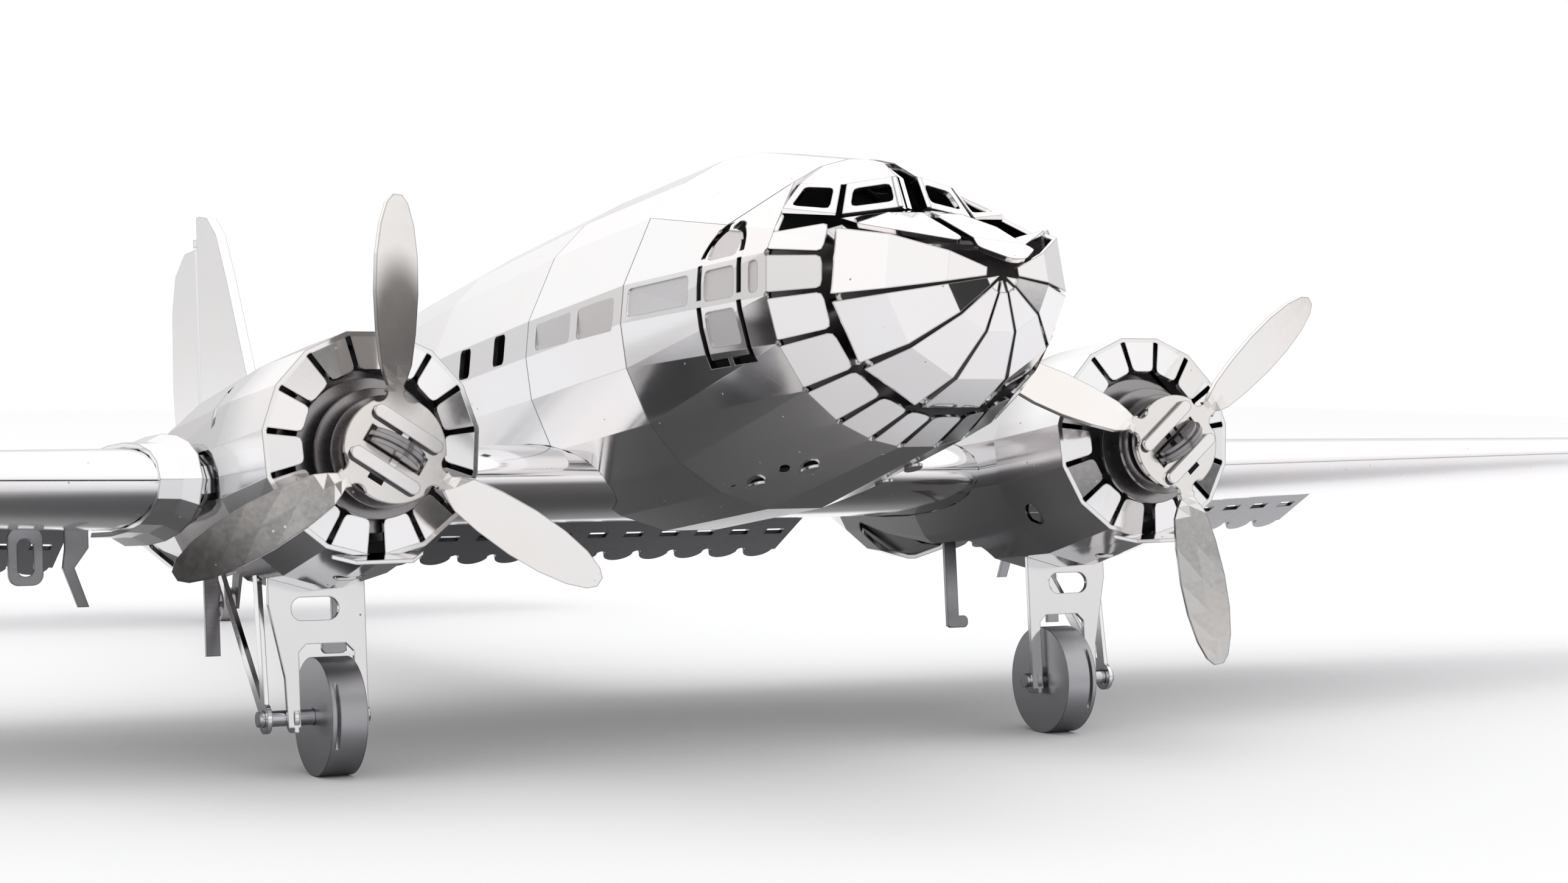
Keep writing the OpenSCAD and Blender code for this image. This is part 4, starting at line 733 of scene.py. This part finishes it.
def on_wing(x, share, up):
    """A place on the upper (1) or lower (-1) surface, the same as the solids use."""
    straight_end = HALF_SPAN - TIP_ROUND
    outboard = max(0.0, abs(x) - CENTRE_HALF)
    along = min(1.0, outboard / (straight_end - CENTRE_HALF))
    loss = 1 - math.sqrt(1 - min(TIP_CUT, max(0.0, abs(x) - straight_end) / TIP_ROUND) ** 2)
    full_chord = ROOT_CHORD + (TIP_CHORD - ROOT_CHORD) * along
    chord = full_chord * (1 - CHORD_LOSS * loss)
    thick = (ROOT_THICK + (TIP_THICK - ROOT_THICK) * along) * (1 - THICK_LOSS * loss)
    lead = WING_Y + outboard * math.tan(SWEEP) + full_chord * LEAD_LOSS * loss
    return (x, lead + chord * share, WING_Z + outboard * math.tan(DIHEDRAL) + up * thick * foil(share))


print("root's leading edge:", on_wing(0, 0, 1))

# %% [markdown]
# ### Skins over the leading edges
# The skin's points are spread by a cosine, which sets them close together
# where the section is roundest. Each is raised a little along the section's
# own normal, so that the skin never dips into the solid.

# %% Leading edge skins
SKIN_SHARE = 0.3
SKIN_RISE = 0.035
SKIN_STEPS = 22
OUTER_STATIONS = [57, 80, 110, 140, 165, 178, 181, 184, 186.5, 188.5]
CENTRE_STATIONS = [-56, -30, 0, 30, 56]


def skin_section(x):
    """The section's nose, from the top round to the underside, a little outside the solid."""
    turns = [math.pi / 2 * k / SKIN_STEPS for k in range(-SKIN_STEPS, SKIN_STEPS + 1)]
    row = [on_wing(x, SKIN_SHARE * (1 - math.cos(turn)), 1 if turn < 0 else -1) for turn in turns]
    raised = []
    for k, point in enumerate(row):
        before, after = row[max(0, k - 1)], row[min(len(row) - 1, k + 1)]
        dy, dz = after[1] - before[1], after[2] - before[2]
        size = math.hypot(dy, dz)
        raised.append((x, point[1] + SKIN_RISE * dz / size, point[2] - SKIN_RISE * dy / size))
    return raised


def leading_edge(name, stations):
    rows = [skin_section(x) for x in stations]
    points = [point for row in rows for point in row]
    faces = grid_faces(len(rows), len(rows[0]))
    return make_piece(name, points, faces, "wing_steel", "wing_sheet", smooth=True)


edges = [leading_edge("left_edge_skin", [-x for x in OUTER_STATIONS]),
         leading_edge("right_edge_skin", OUTER_STATIONS),
         leading_edge("centre_edge_skin", CENTRE_STATIONS)]
print("leading edges:", [len(edge.data.polygons) for edge in edges])

# %% [markdown]
# ## Etched recesses
# The panels pressed into the skins are not polished: the acid that thinned the
# sheet left them sandy. The recesses are already in the frame's solids, so
# their floors can be found there, and no place has to be written twice. A
# floor is a flat group of faces that looks outward and has walls rising round
# nearly all of it. Some walls are missing, where a twisted facet of the skin
# meets the recess, so not all of the rim has to rise.

# %% Find the recess floors
OUTWARD = 0.5
ONE_PLANE = 0.998
WALLED_SHARE = 0.6
SMALLEST_FLOOR = 3 * MM * MM


def looks_outward(face, axis_height):
    """True if the face turns away from the body's axis."""
    middle = face.calc_center_median()
    away = middle - Vector((0, middle.y, axis_height))
    return face.normal.dot(away) > OUTWARD * away.length


def flat_group(seed, outward, seen):
    """The faces that go on flat from a seed, and whether walls rise round them."""
    group, waiting = [], [seed]
    rim, rising = 0.0, 0.0
    seen.add(seed)
    while waiting:
        face = waiting.pop()
        group.append(face)
        for edge in face.edges:
            for other in edge.link_faces:
                if other is face:
                    continue
                if outward[other] and face.normal.dot(other.normal) > ONE_PLANE:
                    if other not in seen:
                        seen.add(other)
                        waiting.append(other)
                    continue
                middle = (edge.verts[0].co + edge.verts[1].co) / 2
                rim += edge.calc_length()
                if (other.calc_center_median() - middle).dot(face.normal) > 0:
                    rising += edge.calc_length()
    return group, rising > WALLED_SHARE * rim


def recess_floors(form, axis_height):
    outward = {face: looks_outward(face, axis_height) for face in form.faces}
    seen, floors = set(), []
    for seed in form.faces:
        if seed in seen or not outward[seed]:
            continue
        group, walled = flat_group(seed, outward, seen)
        if walled and sum(face.calc_area() for face in group) > SMALLEST_FLOOR:
            floors.append(group)
    return floors


print("smallest floor, mm2:", SMALLEST_FLOOR / MM / MM)

# %% [markdown]
# ### Sandy inlays
# A solid's mesh stays as it is, so a floor can't take a second material. Each
# floor gets a very thin sheet with the sandy finish instead, which is its own
# faces copied and raised by a hundredth of a millimetre.

# %% Inlays over the floors
INLAY_RISE = 0.012 * MM
MERGED = 0.001 * MM
# Height of the body's axis at each skin
AXIS_HEIGHTS = {"forward_skin": 0.056, "shoulder_skin": 0.052}


def inlay(node_name, axis_height):
    form = bmesh.new()
    form.from_mesh(nodes[node_name].data)
    bmesh.ops.remove_doubles(form, verts=form.verts, dist=MERGED)
    form.normal_update()
    floors = recess_floors(form, axis_height)
    sheet = bmesh.new()
    for group in floors:
        for face in group:
            sheet.faces.new([sheet.verts.new(vert.co + face.normal * INLAY_RISE) for vert in face.verts])
    bmesh.ops.remove_doubles(sheet, verts=sheet.verts, dist=2 * MERGED)
    mesh = bpy.data.meshes.new(node_name + "_inlay")
    sheet.to_mesh(mesh)
    sheet.free()
    form.free()
    print(node_name, "recess floors:", len(floors), "faces:", len(mesh.polygons))
    return add_piece(node_name + "_inlay", mesh, "etched_steel")


inlays = [inlay(node_name, axis_height) for node_name, axis_height in AXIS_HEIGHTS.items()]
print("inlays:", len(inlays))

# %% [markdown]
# ## Twisted roof sheet
# One facet of the nose section's roof, behind the left windows, is twisted.
# Its solid folds it along a valley; real sheet twists evenly, so a smooth
# sheet with the same four corners lies over the valley. Straight lines between
# opposite edges give just that twist.

# %% Twisted roof sheet
# Corners in the frame's own directions, in mm, and the way out of the facet
ROOF_CORNERS = [(-14.93, -86.24, 56.32), (-11.25, -85.85, 59.88),
                (-8.3, -104.51, 59.37), (-14.59, -102.85, 55.13)]
ROOF_OUT = Vector((-0.63, -0.1, 0.77))
ROOF_RISE = 0.03
ROOF_STEPS = 8


def twisted_sheet(name):
    raised = [Vector(corner) * MM + ROOF_OUT * ROOF_RISE * MM for corner in ROOF_CORNERS]
    first, second, third, fourth = raised
    shares = [step / ROOF_STEPS for step in range(ROOF_STEPS + 1)]
    points = [first.lerp(fourth, ahead).lerp(second.lerp(third, ahead), across)
              for across in shares for ahead in shares]
    mesh = bpy.data.meshes.new(name)
    mesh.from_pydata(points, [], grid_faces(len(shares), len(shares)))
    return add_piece(name, mesh, "mirror_skin", smooth=True)


roof_sheet = twisted_sheet("left_roof_sheet")
print("roof sheet faces up:", roof_sheet.data.polygons[0].normal.z > 0)

# %% [markdown]
# ## Windscreen and roof details
# Between the two front windows stands a folded strip with fine ridges, and a
# strip on the roof narrows the gap there. Both are bent sheet thinner than the
# solids can hold, so each is a few flat faces that follow the folds of the
# windows' frame.

# %% Windscreen strip and roof strip
# Y and Z where the frame of the windows folds, from the sill up
SILL, HEAD, ROOF, CROWN = (-23.1, 20.95), (-21.7, 24.05), (-18.4, 25.9), (-15.0, 26.75)
# Left side, right side and depth of each ridge
RIDGES = [(-1.3, -1.0, 0.3), (-0.98, -0.7, 0.45), (-0.66, -0.4, 0.3), (-0.38, -0.15, 0.42)]
STRIP_LEFT, STRIP_RIGHT = -0.62, 0.22
STRIP_LOOP = [(STRIP_LEFT, ROOF[0], ROOF[1] - 0.1), (STRIP_RIGHT, ROOF[0], ROOF[1] - 0.1),
              (STRIP_RIGHT, CROWN[0], CROWN[1] - 0.06), (STRIP_LEFT, CROWN[0], CROWN[1] - 0.06)]
ONE_FACE = [(0, 1, 2, 3)]


def ridges():
    """Four narrow strips, each bent at the head of the windows."""
    points, faces = [], []
    for left, right, back in RIDGES:
        first = len(points)
        for y, z in (SILL, HEAD, ROOF):
            points += [(left, y + back, z - back / 3), (right, y + back, z - back / 3)]
        faces += [(first, first + 1, first + 3, first + 2), (first + 2, first + 3, first + 5, first + 4)]
    return points, faces


strips = [make_piece("windscreen_strip", *ridges(), "hub_steel", "polished_sheet"),
          make_piece("roof_strip", STRIP_LOOP, ONE_FACE, "mirror_nose", "polished_sheet")]
print("strips:", len(strips))

# %% [markdown]
# ### Sill lips
# A folded lip closes the wedge between each rear window and the skin under
# it. The right one is the left one mirrored, with its corners taken the other
# way round, so that it still faces out.

# %% Sill lips
LIP_LOOP = [(-12.15, -19.1, 21.06), (-7.66, -21.25, 20.36), (-7.66, -21.25, 20.2), (-12.2, -19.1, 20.6)]


def mirrored(points):
    return [(-x, y, z) for x, y, z in points]


lips = [make_piece("left_sill_lip", LIP_LOOP, ONE_FACE, "mirror_nose", "polished_sheet"),
        make_piece("right_sill_lip", mirrored(LIP_LOOP), [(3, 2, 1, 0)], "mirror_nose", "polished_sheet")]
print("sill lips:", len(lips))

# %% [markdown]
# ## Points of the petals
# The petals of the nose cap are bent in until their points nearly meet. The
# solids stop short of that, to keep clear of each other, so five petals get
# their last bit here. Each lies a little deeper than the one before, as when
# they were folded in one after another.

# %% Points of the petals
TIP_Y, TIP_Z, TIP_R = -38.15, 12.65, 1.72
PETAL_START, PETAL_STEP = 155.5, 32.714
# Degrees that a point leaves free beside it, at its foot and at its end
FOOT_GAP, END_GAP = 4, 12
# How far from the middle each petal ends
POINT_R = {1: 0.4, 2: 0.75, 3: 0.55, 4: 0.8, 5: 0.6}
POINT_THICK = 0.4
POINT_LAYER = 0.03


def prism(loop, shift):
    """A flat outline made solid by a shift."""
    points = loop + [tuple(a + b for a, b in zip(point, shift)) for point in loop]
    n = len(loop)
    sides = [(k, (k + 1) % n, n + (k + 1) % n, n + k) for k in range(n)]
    return points, [tuple(reversed(range(n))), tuple(range(n, 2 * n))] + sides


def petal_point(k, reach):
    """The last bit of petal k, from the solid's end nearly to the middle."""
    corners = [(TIP_R, FOOT_GAP), (TIP_R, PETAL_STEP - FOOT_GAP),
               (reach, PETAL_STEP - END_GAP), (reach, END_GAP)]
    loop = []
    for radius, turn in corners:
        angle = math.radians(PETAL_START + k * PETAL_STEP + turn)
        loop.append((radius * math.cos(angle), TIP_Y + POINT_LAYER * k, TIP_Z + radius * math.sin(angle)))
    return prism(loop, (0, POINT_THICK, 0))


petal_points = [make_piece("petal_point_%d" % k, *petal_point(k, reach), "mirror_nose", "polished_sheet")
                for k, reach in POINT_R.items()]
print("petal points:", len(petal_points))

# %% [markdown]
# ## Hub slots
# The T tabs that hold each propeller come up through slots in its hub plate.
# Beside each tab a bit of the dark slot stays open, and its neck can be seen.
# A slot is painted shade: a black plate a hair in front of the hub, standing
# for the dark behind the opening, which is enough where nothing can be seen
# through it.

# %% Hub slots and necks
PROPELLER_TURNS = {"left": 327.6, "right": 39.8}
HUB_FRONT, PLATE_THICK = -0.262, 0.008
NECK_FRONT, NECK_DEEP = -0.62, 0.34
# Left, low, right and high on the hub before the propeller is turned
SLOT_BOXES = [(-0.8, 0.95, 1.0, 1.62), (-1.1, -3.7, 0.5, -2.98)]
NECK_BOXES = [(-0.3, 0.95, 0.45, 1.7), (0.0, -1.7, 0.8, -0.95)]


def on_hub(side, turn, x, z):
    """X and Z of a place on the hub after the propeller is turned."""
    angle = math.radians(-turn)
    return (side * ENGINE_X + x * math.cos(angle) + z * math.sin(angle),
            -x * math.sin(angle) + z * math.cos(angle))


def hub_box(side, turn, box, front, deep):
    left, low, right, high = box
    loop = []
    for corner in ((left, low), (right, low), (right, high), (left, high)):
        x, z = on_hub(side, turn, *corner)
        loop.append((x, front, z))
    return prism(loop, (0, deep, 0))


for side, name in SIDES:
    body, turn = name + "_propeller", PROPELLER_TURNS[name]
    for k, box in enumerate(SLOT_BOXES):
        make_piece("%s_hub_slot_%d" % (name, k), *hub_box(side, turn, box, HUB_FRONT, PLATE_THICK),
                   "slot_black", "polished_sheet", body)
    for k, box in enumerate(NECK_BOXES):
        make_piece("%s_hub_neck_%d" % (name, k), *hub_box(side, turn, box, NECK_FRONT, NECK_DEEP),
                   "hub_steel", "polished_sheet", body)
print("hub slots and necks:", 2 * len(SLOT_BOXES) + 2 * len(NECK_BOXES))

# %% [markdown]
# ### Lines under the bars
# The tabs end in two round-ended bars that lie folded over the hub. Each
# stands a little off the plate, and the narrow gap under it is dark along its
# lower left side. The same outline, moved that way and laid on the hub, shows
# the line from every side without any light being set for it.

# %% Lines under the bars
BAR_HALF, BAR_R = 3.2, 0.65
BAR_HEIGHTS = (2.3, -2.3)
BAR_END_STEPS = 8
LINE_X, LINE_Z = -0.16, -0.18


def bar_shadow(side, turn, height):
    """A bar's outline on the hub, moved to where its line shows."""
    loop = []
    for end, start in ((1, -90), (-1, 90)):
        for k in range(BAR_END_STEPS + 1):
            around = math.radians(start + 180 / BAR_END_STEPS * k)
            along = end * BAR_HALF + BAR_R * math.cos(around)
            x, z = on_hub(side, turn, along, height + BAR_R * math.sin(around))
            loop.append((x + LINE_X, HUB_FRONT, z + LINE_Z))
    return prism(loop, (0, PLATE_THICK, 0))


for side, name in SIDES:
    for k, height in enumerate(BAR_HEIGHTS):
        make_piece("%s_bar_shadow_%d" % (name, k), *bar_shadow(side, PROPELLER_TURNS[name], height),
                   "dark_steel", "polished_sheet", name + "_propeller")
print("lines under bars:", 2 * len(BAR_HEIGHTS))

# %% [markdown]
# ## Cowl lips
# Under each cowl a small lip of sheet stands forward. It could be a bent
# plate, but it is too small for its bend to show: an outline with a thickness,
# like most pieces here, is enough.

# %% Cowl lips
COWL_LOOP = [(-4.9, 6.3, -9.35), (-3.2, 4.5, -10.15), (2.6, 4.3, -10.2), (4.4, 6.3, -9.5)]
COWL_THICK = (0, 0.1, -0.4)

for side, name in SIDES:
    loop = [(side * ENGINE_X - x, y, z) for x, y, z in COWL_LOOP]
    make_piece(name + "_cowl_lip", *prism(loop, COWL_THICK), "mirror_skin", "skin_sheet")
print("cowl lips:", len(SIDES))

# %% [markdown]
# ## Belly tabs
# On the belly, tabs from the skin behind come through slots and lie folded
# over. Tabs and slots are ovals in the plane of the facet they are on, so one
# function draws both: a tab stands off the skin, tilted, and a slot lies flat
# on it as a black oval of painted shade.

# %% Belly tabs
BELLY_OUT = Vector((-0.30, -0.16, -0.94)).normalized()
BELLY_AHEAD = (Vector((0, -1, 0)) - BELLY_OUT * BELLY_OUT.dot(Vector((0, -1, 0)))).normalized()
BELLY_ACROSS = BELLY_OUT.cross(BELLY_AHEAD)
OVAL_POINTS = 20
# Middle, half length, half width and rise of each tab on the left side
TABS = [((-7.2, -1.62, -3.76), 1.55, 0.7, 0.42), ((-5.7, -10.28, -2.75), 1.5, 0.65, 0.42)]
TAB_TILT = 0.26
TAB_THICK = (0, 0, 0.3)
# Middle, half length and half width of each slot on the left side
SLOTS = [((-8.0, 1.3, -3.93), 0.75, 0.42), ((-7.1, -7.6, -2.82), 0.8, 0.4)]
SLOT_RISE = 0.05


def oval(side, middle, long, wide, rise, tilt=0.0):
    """An oval plate over the belly, on either side; tilt lifts its lower edge."""
    loop = []
    for k in range(OVAL_POINTS):
        turn = math.tau * k / OVAL_POINTS
        across = wide * math.sin(turn)
        place = (Vector(middle) + BELLY_AHEAD * long * math.cos(turn) + BELLY_ACROSS * across
                 + BELLY_OUT * (rise + tilt * across / wide))
        loop.append(tuple(place))
    return loop if side < 0 else mirrored(loop)


for side, name in SIDES:
    for k, (middle, long, wide, rise) in enumerate(TABS):
        tab = prism(oval(side, middle, long, wide, rise, TAB_TILT), TAB_THICK)
        make_piece("%s_belly_tab_%d" % (name, k), *tab, "mirror_skin", "polished_sheet")
    for k, (middle, long, wide) in enumerate(SLOTS):
        slot = oval(side, middle, long, wide, SLOT_RISE)
        make_piece("%s_belly_slot_%d" % (name, k), slot, [tuple(range(OVAL_POINTS))],
                   "slot_black", "polished_sheet")
print("belly pieces:", 2 * len(TABS) + 2 * len(SLOTS))
